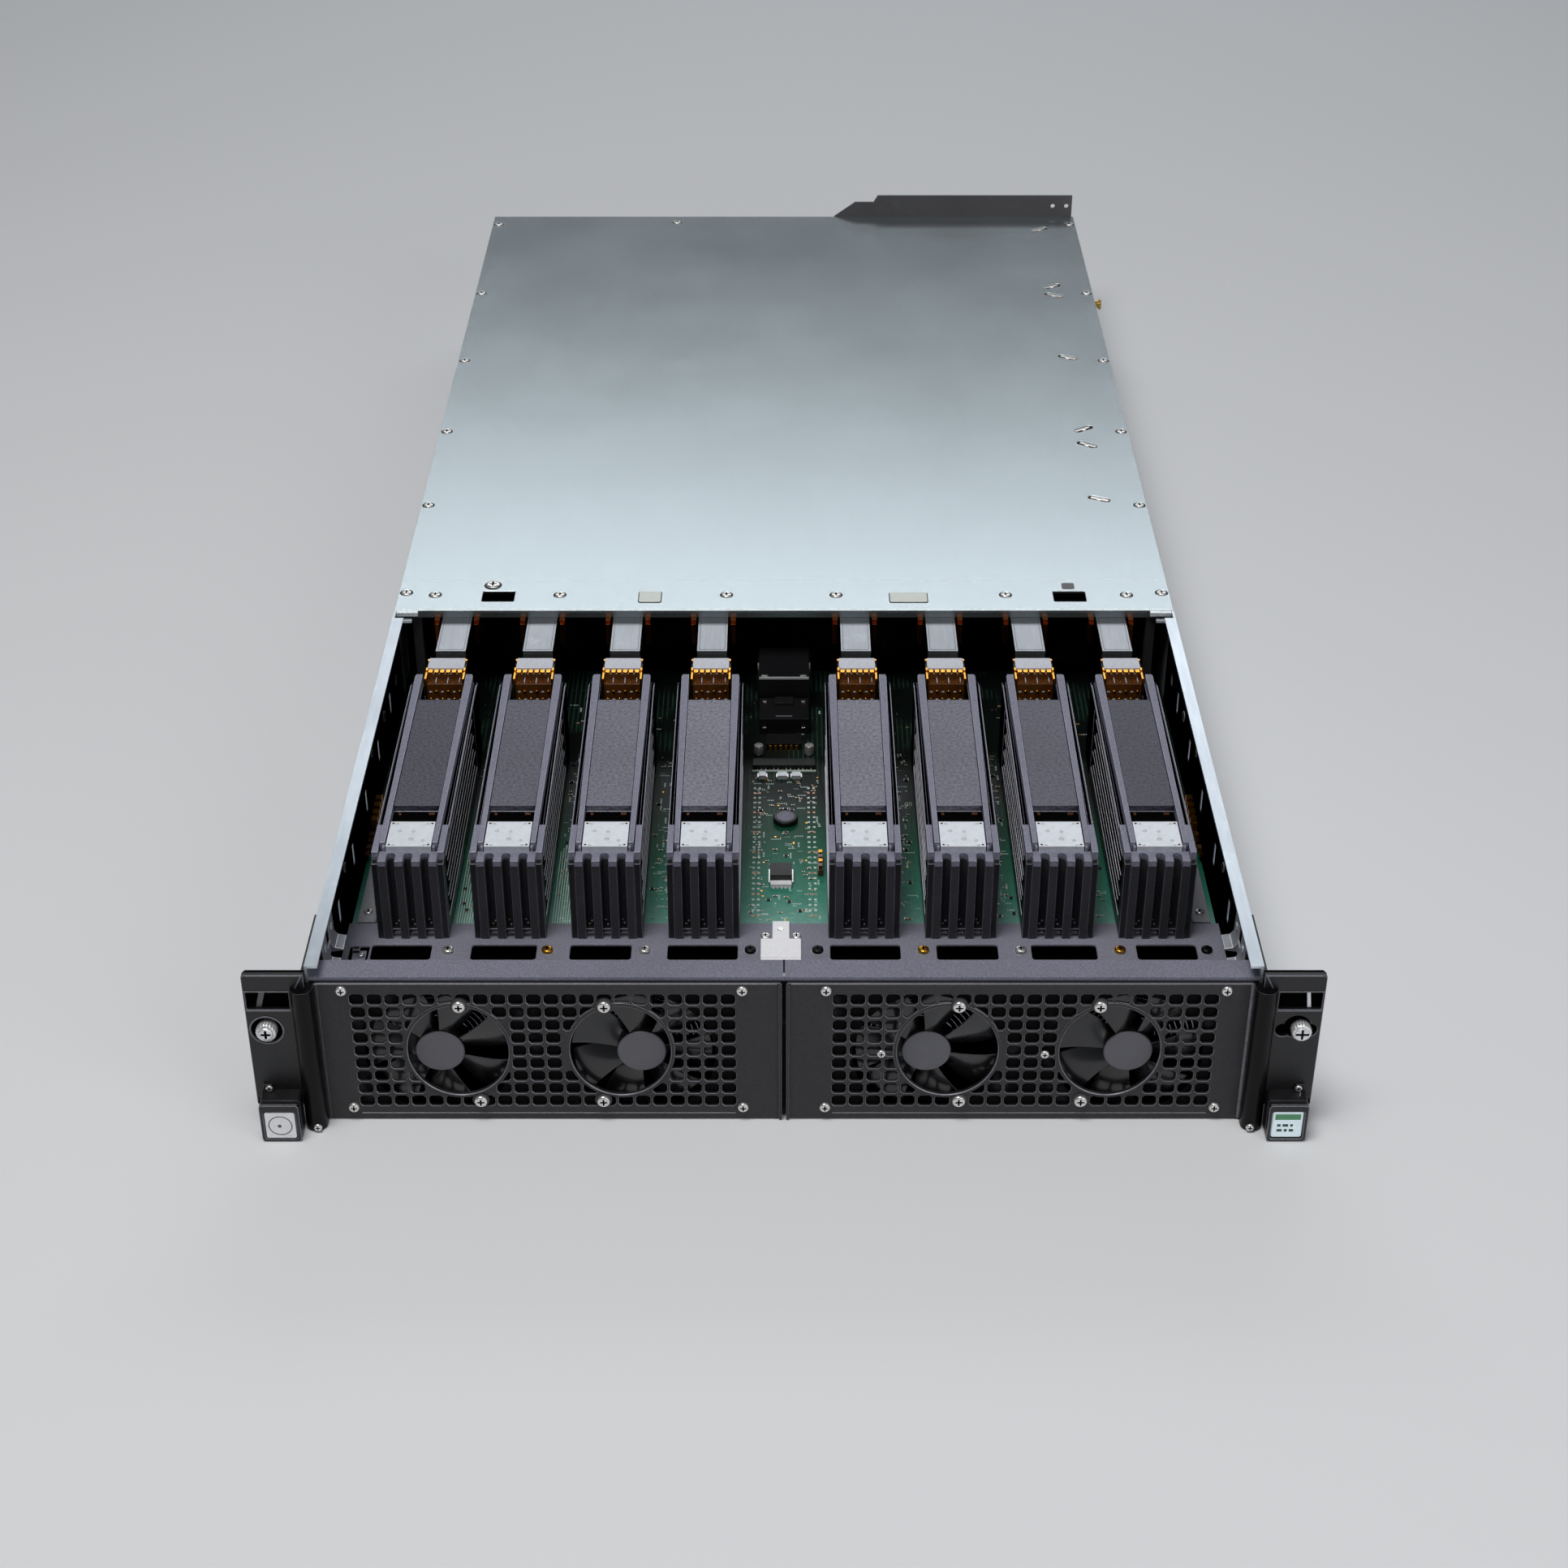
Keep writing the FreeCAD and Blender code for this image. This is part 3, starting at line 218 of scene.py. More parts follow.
# Near-black metal in screw crosses, round sunk screw heads, round the cover pads and plug, in small holes and
# in the lip seam: painted shade in those hollows.
material("recess", (0.08, 0.08, 0.085), 0.5, 0.8, 0.2)
material("fin", (0.045, 0.045, 0.05), 0.5, 0.2, 0.2, streak=(1, 0.1, 1), shine=0.2)
# Pale strips on the fins' outer edges and the module tops: a painted highlight, with an emission that makes
# them glow though they are no lamp.
material("fin_edge", (0.80, 0.80, 0.84), 0.4, 0.1, 0.45, 160, 0.1, streak=(1, 0.2, 1), glow=0.1)
material("plate", (0.80, 0.815, 0.84), 0.30, 0.35, 0.07, 300, 0.08)
material("cap", (0.78, 0.785, 0.82), 0.46, 0.25, 0.12, 900, 0.35, 1500)
material("strip", (0.62, 0.63, 0.66), 0.45, 0.4, 0.06, 600, 0.1, scuff=0.2)
material("white", (0.93, 0.93, 0.95), 0.38, spread=0.04, grain=500, bump=0.08)
material("pad", (0.84, 0.86, 0.84), 0.55, spread=0.05, grain=700, bump=0.2)
material("amber", (0.33, 0.185, 0.06), 0.3, spread=0.25, grain=400, bump=0.1, coat=0.4)
material("gloss", (0.10, 0.10, 0.11), 0.22, spread=0.15, grain=500, bump=0.05, coat=0.5)
material("silk", (0.80, 0.87, 0.84), 0.6, spread=0.08, grain=500, bump=0.05)
material("pink", (0.80, 0.60, 0.52), 0.4, 0.5, 0.1, 500, 0.05)
material("button", (0.95, 0.955, 0.965), 0.34, 0.15, 0.05, 900, 0.1, scuff=0.1)
material("screen", (0.80, 0.86, 0.88), 0.16, spread=0.04, grain=300, bump=0.0, glow=0.35)
material("screen_green", (0.27, 0.48, 0.34), 0.16, spread=0.1, grain=300, bump=0.0, glow=0.35)
material("screen_mark", (0.22, 0.30, 0.30), 0.2, spread=0.1, grain=300, bump=0.0)
material("knob", (0.94, 0.94, 0.95), 0.36, 0.7, 0.12, 900, 0.3)
material("bracket", (0.40, 0.39, 0.40), 0.42, 0.7, 0.07, 800, 0.1, scuff=0.2)
# Board colours along its depth are painted light: the pale teal at the front is a painted sheen, and the
# near-black towards the rear is painted shade under the cover.
BOARD_SHEEN_AND_SHADE = [(100, (0.46, 0.66, 0.62)), (126, (0.22, 0.52, 0.44)), (160, (0.06, 0.38, 0.29)),
               (192, (0.03, 0.24, 0.17)), (218, (0.02, 0.07, 0.05)), (352, (0.015, 0.03, 0.025))]
material("board", (0.10, 0.36, 0.27), 0.42, spread=0.12, grain=260, bump=0.05, fine=900, shine=0.3,
         stops=(1, BOARD_SHEEN_AND_SHADE))


def add_traces(name, light):
    """Fine copper lines under the lacquer of a circuit board, in patches."""
    tree = Tree(M[name])
    under = tree.shader.inputs["Base Color"].links[0].from_socket
    turn = tree.add("Mapping", {"Vector": tree.where, "Rotation": (0, 0, pi / 2)})
    lines = tree.add("TexBrick", {"Vector": turn.outputs[0], "Scale": 62.0, "Mortar Size": 0.02,
                                  "Brick Width": 2.4, "Row Height": 0.16, "Color1": (0, 0, 0, 1),
                                  "Color2": (0.15, 0.15, 0.15, 1), "Mortar": (1, 1, 1, 1)})
    both = tree.nodes.new("ShaderNodeMath")
    both.operation = "MULTIPLY"
    tree.links.new(lines.outputs["Color"], both.inputs[0])
    tree.links.new(tree.mapped(tree.noise(tree.where, 30.0, 2.0), 0.48, 0.56, 0.0, 0.13), both.inputs[1])
    tree.feed(tree.shader, {"Base Color": tree.mixed("MIX", both.outputs["Value"], under, srgb(*light))})


add_traces("board", (0.36, 0.60, 0.50))


# Geometry

class Shape:
    """Gathers solids into one mesh, in millimetres from an origin. Side -1 mirrors them to the left."""

    def __init__(self, x=0.0, y=0.0, z=0.0, side=1):
        self.origin = (x, y, z)
        self.side = side
        self.verts, self.faces, self.index = [], [], []

    def add(self, points, faces, mats=0):
        start = len(self.verts)
        x0, y0, z0 = self.origin
        self.verts += [(self.side * (x0 + x), y0 + y, z0 + z) for x, y, z in points]
        self.faces += [tuple(start + i for i in face) for face in faces]
        self.index += mats if isinstance(mats, list) else [mats] * len(faces)

    def box(self, x0, x1, y0, y1, z0, z1, mat=0):
        v = [(x, y, z) for z in (z0, z1) for y in (y0, y1) for x in (x0, x1)]
        self.add(v, [(0, 2, 3, 1), (4, 5, 7, 6), (0, 1, 5, 4), (2, 6, 7, 3), (0, 4, 6, 2), (1, 3, 7, 5)], mat)

    def boxes(self, *boxes):
        for values in boxes:
            self.box(*values)

    def pairs(self, *boxes, centre=0.0):
        """Each box on both sides of the middle, or of another centre."""
        for x0, x1, *rest in boxes:
            for side in SIDES:
                a, b = span(side, x0, x1)
                self.box(centre + a, centre + b, *rest)

    def row(self, count, step, x0, x1, *rest):
        """The same box several times, each a step further to the right."""
        for i in range(count):
            self.box(x0 + i * step, x1 + i * step, *rest)

    def prism(self, outline, axis, a, b, mat=0):
        """outline extruded from a to b along y or z; outline gives x and the other one."""
        rows = [[(x, q, v) if axis == "y" else (x, v, q) for x, v in outline] for q in (a, b)]
        self.bridge(rows, len(outline), [mat])

    def bridge(self, rows, sides, mats, closed=True):
        """Rings of points joined one to the next, with the ends capped."""
        faces, index = [], []
        for k in range(len(rows) - 1):
            a = k * sides
            faces += [(a + i, a + (i + 1) % sides, a + sides + (i + 1) % sides, a + sides + i)
                      for i in range(sides)]
            index += [mats[min(k, len(mats) - 1)]] * sides
        if closed:
            faces += [tuple(reversed(range(sides))), tuple(range((len(rows) - 1) * sides, len(rows) * sides))]
            index += [mats[0], mats[-1]]
        self.add([p for row in rows for p in row], faces, index)

    def rings(self, centre, direction, profile, sides=24, mat=0, mats=None, closed=True, oval=1.0):
        """A turned form: profile is (radius or function of angle, height along direction)."""
        out = Vector(direction).normalized()
        u = Vector((1, 0, 0)) if abs(out.z) > 0.9 else out.cross(Vector(UP)).normalized()
        w = out.cross(u)
        turns = [2 * pi * i / sides for i in range(sides)]
        rows = [[Vector(centre) + out * height
                 + (u * cos(t) + w * (sin(t) * oval)) * (radius(t) if callable(radius) else radius)
                 for t in turns] for radius, height in profile]
        self.bridge(rows, sides, mats or [mat], closed)

    def tube(self, points, radius, sides=8, mat=0):
        pts = [Vector(p) for p in points]
        turns = [2 * pi * k / sides for k in range(sides)]
        rows = []
        for i, p in enumerate(pts):
            t = (pts[min(len(pts) - 1, i + 1)] - pts[max(0, i - 1)]).normalized()
            u = t.cross(Vector(UP)).normalized() if abs(t.z) < 0.95 else Vector((1, 0, 0))
            w = t.cross(u)
            rows.append([p + (u * cos(q) + w * sin(q)) * radius for q in turns])
        self.bridge(rows, sides, [mat])


def mesh_object(name, mesh):
    obj = bpy.data.objects.new(name, mesh)
    bpy.context.scene.collection.objects.link(obj)
    return obj


def built(name, verts, faces, index, smooth, merge=0.0):
    """A mesh with its faces turned outwards; points closer than merge become one."""
    mesh = bpy.data.meshes.new(name)
    mesh.from_pydata([tuple(v) for v in verts], [], faces)
    mesh.polygons.foreach_set("material_index", index)
    bm = bmesh.new()
    bm.from_mesh(mesh)
    if merge:
        bmesh.ops.remove_doubles(bm, verts=bm.verts, dist=merge)
    bmesh.ops.recalc_face_normals(bm, faces=bm.faces)
    bm.to_mesh(mesh)
    bm.free()
    mesh.polygons.foreach_set("use_smooth", [smooth] * len(mesh.polygons))
    return mesh


def soften(obj, width, edge, segments=2):
    """Rounds the sharp edges, which take the last material where edge names one: a lighter edge colour that
    paints a highlight on them.
    """
    mod = obj.modifiers.new("edges", "BEVEL")
    mod.width = width * MM
    mod.segments = segments
    mod.limit_method = "ANGLE"
    mod.angle_limit = radians(40)
    mod.use_clamp_overlap = True
    if edge:
        mod.material = len(obj.data.materials) - 1
    return mod


def attach(obj, body, finishes, replaces, bevel=0.0, edge="", segments=2):
    """Gives the piece its finishes, its softened edges with their painted highlight where edge names one, and
    its body.
    """
    for name in (finishes + " " + edge).split():
        obj.data.materials.append(M[name])
    if bevel:
        soften(obj, bevel, edge, segments).harden_normals = True
    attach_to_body(obj, body)
    if replaces:
        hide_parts(replaces)


def piece(name, shape, finishes, bevel=0.0, replaces="", body="chassis", edge="", shift=(0, 0, 0),
          segments=2):
    """One object from a Shape, placed at shift. finishes names the materials, with blanks between them."""
    mesh = built(name, [at(*v) - at(0, 0, 0) for v in shape.verts], shape.faces, shape.index, True)
    mesh.set_sharp_from_angle(angle=radians(38.0))
    obj = mesh_object(name, mesh)
    obj.location = at(*shift)
    attach(obj, body, finishes, replaces, bevel, edge, segments)


def circle(cx, cy, r, n=28, start=0.0, oval=1.0):
    turns = [start + 2 * pi * i / n for i in range(n)]
    return [(cx + r * cos(t), cy + r * oval * sin(t)) for t in turns]


def rounded(x0, x1, y0, y1, r, n=4):
    """A rectangle with round corners, anticlockwise."""
    centres = ((x1 - r, y1 - r, 0), (x0 + r, y1 - r, 90), (x0 + r, y0 + r, 180), (x1 - r, y0 + r, 270))
    turns = [(cx, cy, radians(a + 90 * i / n)) for cx, cy, a in centres for i in range(n + 1)]
    return [(cx + r * cos(t), cy + r * sin(t)) for cx, cy, t in turns]


def turned(points, angle, cx, cy):
    c, s = cos(radians(angle)), sin(radians(angle))
    return [(cx + x * c - y * s, cy + x * s + y * c) for x, y in points]


def turn_of(ring):
    """Twice the area inside a ring, positive where it runs anticlockwise."""
    return sum(x * y2 - x2 * y for (x, y), (x2, y2) in zip(ring, ring[1:] + ring[:1]))


def grown(ring, distance):
    """The ring, which runs anticlockwise, moved outwards by a distance, corner by corner."""
    n = len(ring)
    out = []
    for i in range(n):
        a, b, c = Vector(ring[i - 1]), Vector(ring[i]), Vector(ring[(i + 1) % n])
        p, q = (b - a), (c - b)
        if p.length < 1e-6 or q.length < 1e-6:
            p = q = c - a
        p.normalize()
        q.normalize()
        normal = Vector((p.y + q.y, -p.x - q.x))
        if normal.length < 1e-4:
            normal = Vector((p.y, -p.x))
        normal.normalize()
        reach = max(0.5, normal.dot(Vector((p.y, -p.x))))
        out.append(tuple(b + normal * (distance / reach)))
    return out


def sheet(name, outline, holes, thick, plane, level, finishes, bevel=0.15, replaces="",
          body="chassis"):
    """A flat sheet with holes and chamfered edges, which take the second material where there is one: a
    lighter colour that paints a highlight on the chamfers.

    plane "top" lies at height level, "side" stands at width level, "front" stands at depth level."""
    rings = [ring if turn_of(ring) > 0 else list(reversed(ring)) for ring in [outline] + list(holes)]
    edge = [grown(rings[0], -bevel)] + [grown(ring, bevel) for ring in rings[1:]]
    loops, count = [], 0
    for ring in edge:
        loops.append(list(range(count, count + len(ring))))
        count += len(ring)
    flat, _, tris, _, _, origin = delaunay_2d_cdt([Vector(p) for ring in edge for p in ring],
                                                  [], loops, 1, 1e-5)
    keep = [tuple(t) for t, source in zip(tris, origin) if list(source) == [0]]
    half, m = thick / 2, len(flat)
    verts = [(p.x, p.y, h) for h in (half, -half) for p in flat]
    faces = keep + [tuple(m + i for i in reversed(t)) for t in keep]
    index = [0] * len(faces)
    chamfer = 1 if " " in finishes else 0
    for ring, soft in zip(rings, edge):
        n, base = len(ring), len(verts)
        for line, h in ((soft, half), (ring, half - bevel), (ring, bevel - half), (soft, -half)):
            verts += [(u, v, h) for u, v in line]
        for k, mat in enumerate((chamfer, 0, chamfer)):
            a = base + k * n
            faces += [(a + i, a + (i + 1) % n, a + n + (i + 1) % n, a + n + i) for i in range(n)]
            index += [mat] * n
    place = {"top": lambda u, w, h: at(u, w, level + h), "side": lambda u, w, h: at(level + h, u, w),
             "front": lambda u, w, h: at(u, level + h, w)}[plane]
    mesh = built(name, [place(*v) for v in verts], faces, index, False, 2e-6)
    attach(mesh_object(name, mesh), body, finishes, replaces)


def cross_recess(r):
    return lambda t: r * (0.34 + 0.66 * abs(cos(2 * t)) ** 2.2)


def screw(shape, centre, direction, radius, height, mat=0, inner=1, sides=32):
    """A pan head with its cross recess, which takes the inner material: painted shade in the hollow."""
    profile = [(radius * r, height * h)
               for r, h in ((1, 0), (1, 0.45), (0.94, 0.75), (0.80, 0.95), (0.66, 1))]
    profile += [(cross_recess(radius * 0.62), height), (cross_recess(radius * 0.5), height * 0.35)]
    shape.rings(centre, direction, profile, sides, mats=[mat] * 5 + [inner])


def finish_node(name, finish, bevel, edge=""):
    """A CAD node that stays: it gets its procedural finish and softened edges, which take a painted highlight
    where edge names a lighter material.
    """
    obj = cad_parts[name]
    obj.data.materials.clear()
    for label in (finish + " " + edge).split():
        obj.data.materials.append(M[label])
    soften(obj, bevel, edge)


for node, finish, bevel, edge in (
        ("front_frame", "frame", 0.25, ""), ("fan_frames", "pitch", 0.2, ""),
        ("gpu_baseboard", "board", 0.15, ""), ("system_board", "board", 0.15, ""),
        ("side_wall_left", "steel", 0.3, "steel_edge"), ("side_wall_right", "steel", 0.3, "steel_edge"),
        # the middle wall takes the near-black finish: painted shade at the back of the bay
        ("base_pan", "pan", 0.2, ""), ("mid_wall", "pitch", 0.2, ""), ("rear_bracket", "bracket", 0.2, ""),
        ("rail_stud", "brass", 0.25, ""), ("rear_ports", "supply", 0.08, ""), ("psu_cage", "steel", 0.15, ""),
        ("cpu_heatsinks", "sink", 0.15, ""), ("memory_modules", "chip", 0.15, ""),
        ("board_standoffs", "brass", 0.2, "")):
    finish_node(node, finish, bevel, edge)


# Camera: fitted to the corners of the chassis in the photograph

def make_camera():
    data = bpy.data.cameras.new("camera")
    data.lens = 60.24
    data.sensor_width = 36.0
    cam = mesh_object("camera", data)
    cam.location = at(0, -934.3, TOP + 701.4)
    cam.rotation_euler = (radians(90 - 32.922), 0, 0)
    bpy.context.scene.camera = cam


make_camera()


# Front panels

PANEL_TOP, PANEL_OUT = corners("grille_left")[1][2], corners("grille_right")[1][0]
OPENINGS = [FANS[3] - 8.9, FANS[2] + 9.4]
OPENING_Z, RIM, OVAL = 40.3, 22.9, 1.11
FAN_SCREWS = {-1: ((-146, 66), (-139.3, 11.4), (-80.8, 66), (-82.9, 11.4)),
              1: ((78.7, 66), (80.3, 11.4), (142, 66), (136.3, 11.4))}
FAN_SCREW_RING = 3.9
CORNER_SCREWS_X = (18.8, PANEL_OUT - 12.2)
HOLE_W, HOLE_H, CUT = 6.7, 6, 1.3
HOLE = [(CUT, 0), (HOLE_W - CUT, 0), (HOLE_W, CUT), (HOLE_W, HOLE_H - CUT), (HOLE_W - CUT, HOLE_H),
        (CUT, HOLE_H), (0, HOLE_H - CUT), (0, CUT)]


def clipped(outline, cx, cz, r, oval=1):
    """The outline's points inside a round rim are pushed out to it."""
    out, moved = [], False
    for (x0, z0), (x1, z1) in zip(outline, outline[1:] + outline[:1]):
        for k in range(4):
            x, z = x0 + (x1 - x0) * k / 4, z0 + (z1 - z0) * k / 4
            d = hypot(x - cx, (z - cz) / oval)
            if d < r:
                x, z = cx + (x - cx) * r / d, cz + (z - cz) * r / d
                moved = True
            out.append((x, z))
    return out if moved else outline


def panel_holes(side):
    """Two oval openings, and the vents around them that keep enough of their area."""
    holes = [circle(side * x, OPENING_Z, RIM, 72, oval=OVAL) for x in OPENINGS]
    for left in [21.8 + column * 7.93 for column in range(22)]:
        for low in [7.8 + row * 7.3 for row in range(9)]:
            hole = [(side * (left + x), low + z) for x, z in HOLE]
            full = abs(turn_of(hole))
            dz = (low + HOLE_H / 2 - OPENING_Z) / OVAL
            if min(hypot(left + HOLE_W / 2 - x, dz) for x in OPENINGS) <= RIM:
                continue
            for x in OPENINGS:
                hole = clipped(hole, side * x, OPENING_Z, RIM + 1.9, OVAL)
            for x, z in FAN_SCREWS[side]:
                hole = clipped(hole, x, z, FAN_SCREW_RING)
            if abs(turn_of(hole)) > 0.3 * full:
                holes.append(hole)
    return holes


def make_panel(side):
    name = NAMES[side]
    sheet("fan_panel_" + name, rounded(*span(side, 1, PANEL_OUT), 0.3, PANEL_TOP, 1.2, 3), panel_holes(side),
          1.5, "front", 0.75, "grille grille_edge", 0.17, "grille_" + name)
    rims = Shape(side=side)
    # One inner band of each rim, the thin strips along the panel's bottom and top, and the strip down the
    # outer edge of the right panel only take the lighter edge colour: painted highlight lines.
    for x in OPENINGS:
        profile = [(RIM + 1.5, 0), (RIM + 1.5, 0.2), (RIM + 0.9, 0.6), (RIM + 0.3, 0.6), (RIM, 0.2),
                   (RIM, -1.4)]
        rims.rings((x, 0, OPENING_Z), TO_FRONT, profile, 72, mats=[0, 0, 0, 1, 0], closed=False, oval=OVAL)
    rims.boxes((CORNER_SCREWS_X[0] + 3.4, CORNER_SCREWS_X[1] - 3.4, -0.12, 0.1, 3.4, 3.9, 1),
               (3, PANEL_OUT - 0.4, -0.1, 0.1, PANEL_TOP - 0.75, PANEL_TOP - 0.25, 1),
               (PANEL_OUT - 1.5, PANEL_OUT - 0.1, -0.35, 0.2, 1, PANEL_TOP - 0.6, 1 if side > 0 else 0))
    rims.prism([(1, 0.4), (2.3, 0.4), (2.3, PANEL_TOP - 1.4), (1.65, PANEL_TOP - 0.2), (1, PANEL_TOP - 1.4)],
               "y", -0.9, 0.1)
    piece("panel_rims_" + name, rims, "grille grille_edge", 0.25, edge="grille_edge")
    screws = Shape()
    for x in CORNER_SCREWS_X:
        for z in (7.3, 74.5):
            screw(screws, (side * x, 0, z), TO_FRONT, 2.5, 1.5)
    for x, z in FAN_SCREWS[side]:
        profile = [(FAN_SCREW_RING, 0), (FAN_SCREW_RING, 0.5), (3.4, 0.9), (2.8, 0.9)]
        screws.rings((x, 0.2, z), TO_FRONT, profile, 28, mat=2)
        screw(screws, (x, -0.6, z), TO_FRONT, 3, 1.6)
    if side > 0:
        for x, z in ((44.2, 38.7), (118.5, 38.3)):
            screw(screws, (x, 0, z), TO_FRONT, 2, 1.2)
    piece("panel_screws_" + name, screws, "screw recess rib", 0, "grille_screws")


for side in SIDES:
    make_panel(side)


# Fans

BLADES, ACROSS, ALONG = 7, 8, 7
ROOT, TIP = 10.6, 32
BLADE_THICK = 0.9
HUB_FACE = corners("fan_rotor_1")[0][1]


def add_blade(blades, x, turn):
    """A wide tilted blade; its rim has the second finish, a lighter colour that paints a highlight on the
    blade's edges.
    """
    front = []
    for f in [i / ALONG for i in range(ALONG + 1)]:
        r = ROOT + f * (TIP - ROOT)
        for g in [j / ACROSS for j in range(ACROSS + 1)]:
            angle = turn + (0.74 - 0.06 * f) * (g - 0.5) - 0.10 * f * f
            depth = 0.9 + 5.4 * g * (1 - 0.22 * f) - 0.8 * sin(pi * g)
            front.append((x + r * sin(angle), HUB_FACE + depth, FAN_Z + r * cos(angle)))
    n, total = ACROSS + 1, len(front)
    faces = []
    for a in [i * n + j for i in range(ALONG) for j in range(ACROSS)]:
        faces += [(a, a + 1, a + n + 1, a + n), tuple(total + b for b in (a, a + n, a + n + 1, a + 1))]
    rim = list(range(n)) + [i * n + ACROSS for i in range(1, ALONG + 1)]
    rim += [ALONG * n + j for j in reversed(range(ACROSS))] + [i * n for i in reversed(range(1, ALONG))]
    sides = [(a, total + a, total + b, b) for a, b in zip(rim, rim[1:] + rim[:1])]
    blades.add(front + [(px, py + BLADE_THICK, pz) for px, py, pz in front], faces + sides,
               [0] * len(faces) + [1] * len(sides))


def make_rotor(number, x):
    """Flat hub disc with a turned rim, and blades that catch the light."""
    body = "fan_%d" % number
    back = (x, HUB_FACE + 6, FAN_Z)
    hub, blades, spindle = Shape(), Shape(), Shape()
    hub.rings(back, TO_FRONT, [(11.2, 0), (11.4, 4.8), (11.25, 5.5), (10.8, 5.95), (10.3, 6), (3, 6)], 56,
              mats=[1, 1, 0, 0, 0])
    piece("fan_hub_%d" % number, hub, "hub blade", body=body)
    for k in range(BLADES):
        add_blade(blades, x, 2 * pi * k / BLADES + number * 0.4)
    piece("fan_blades_%d" % number, blades, "blade blade_edge", 0, "fan_rotor_%d" % number,
          body)
    spindle.rings(back, TO_REAR, [(1.5, 0), (1.5, 3.8), (1.2, 4)], 20)
    piece("fan_spindle_%d" % number, spindle, "steel", body=body)


def make_guards():
    """Wire-like rings across the back of each fan."""
    guards = Shape()
    for x in FANS:
        for r in [13.6 + 2.55 * k for k in range(8)]:
            guards.rings((x, 0, FAN_Z), TO_REAR, [(r, 13), (r + 2, 13), (r + 2, 13.7), (r, 13.7), (r, 13)],
                         48, closed=False)
    piece("fan_guards", guards, "pitch")


for number, x in enumerate(FANS, 1):
    make_rotor(number, x)
make_guards()


# Deck

SLOT_SHIFTS = ((-16.5, 17.3), (-12.1, 17.4), (-13.3, 18.1), (-9.5, 19.4))
SCREW_SHIFTS = (-22.5, -18.5, -18.5, -17.6)
SCREW_KINDS = (0, 1, 0, 2, 2, 1, 0, 1, 2)
SCREW_Y = 80.9


def make_deck():
    slots = [span(side, x + a, x + b) for x, (a, b) in zip(MODULES[4:], SLOT_SHIFTS) for side in SIDES]
    holes = ([rounded(a, b, 74.2, 86.4, 1.6, 4) for a, b in slots]
             + [rounded(-209, -199.5, 73.9, 85.3, 1.2, 3)])
    sheet("deck_plate", [(-WALL, DECK_FRONT), (WALL, DECK_FRONT), (WALL, DECK_REAR), (-WALL, DECK_REAR)],
          holes, 1.2, "top", DECK - 0.6, "deck deck_edge", 0.14, "front_deck")
    legs, seam, heads, lever = Shape(), Shape(), Shape(z=DECK), Shape(z=DECK)
    for x in (-190, -106, 0, 106, 190):
        for y in (DECK_FRONT, DECK_REAR - 1.2):
            legs.box(x - 12, x + 12, y, y + 1.2, 1.5, DECK - 1.2)
    legs.boxes((-WALL, WALL, DECK_REAR - 0.8, DECK_REAR, DECK - 7, DECK - 1.2),
               (-WALL, WALL, 62, 98, DECK - 20, DECK - 19))
    piece("deck_legs", legs, "dark", 0.2)
    seam.prism([(-0.35, 3), (0.35, 3), (0.45, 14.6), (-0.45, 14.6)], "z", 80.5, 80.76)
    seam.prism([(-0.8, 2.3), (0.8, 2.3), (0.35, 4.6), (-0.35, 4.6)], "z", 80.5, 80.9, 1)
    piece("lip_seam", seam, "recess strip")
    screws = [x + shift for x, shift in zip(MODULES[4:], SCREW_SHIFTS)]
    for x, kind in zip(sorted([-x for x in screws] + screws + [WALL - 9.1]), SCREW_KINDS):
        heads.rings((x, SCREW_Y, -0.1), UP, [(3.6, 0), (3.5, 0.3), (3, 0.36), (2.9, 0.15)], 32, mat=3)
        heads.rings((x, SCREW_Y, 0), UP, [(2.3, 0), (2.3, 0.8)], 24, mat=4)
        screw(heads, (x, SCREW_Y, 0.7), UP, 2.75, 1.3, kind, 4)
    piece("deck_screw_heads", heads, "screw gold screw_dark strip recess", 0, "deck_screws")
    lever.boxes((-207.6, -201, 76.4, 83.6, -3.4, -1.6, 0), (-207.6, -204, 81.4, 84.6, -3.4, 0.4, 1))
    lever.rings((-203.2, 79, -1.6), UP, [(1.7, 0), (1.7, 1.2), (1.3, 1.5)], 20, mat=2)
    piece("deck_lever", lever, "rail black screw", 0.25, edge="rail_edge_highlight")


def make_latch():
    """T-shaped plate in the middle, with a rivet on each side of its neck."""
    plate, rivets = Shape(z=DECK), Shape(z=DECK)
    plate.prism([(-11.3, 74.2), (8.3, 74.2), (8.3, 89.5), (2.7, 89.5), (2.7, DECK_REAR), (-5.7, DECK_REAR),
                 (-5.7, 89.5), (-11.3, 89.5)], "z", 0.05, 1.5)
    plate.box(-11.3, 8.3, 72.6, 74.2, -3, 1.3)
    piece("centre_plate", plate, "white", 0.45, "centre_latch", segments=3)
    for x in (-9, 6):
        screw(rivets, (x, 92.3, 0), UP, 2.4, 1.5)
    rivets.rings((-1.5, 97, 1.5), UP, [(1.6, 0), (1.4, 0.25)], 20)
    piece("centre_rivets", rivets, "screw recess")


make_deck()
make_latch()


# Boards

MODULE_REACH = 18


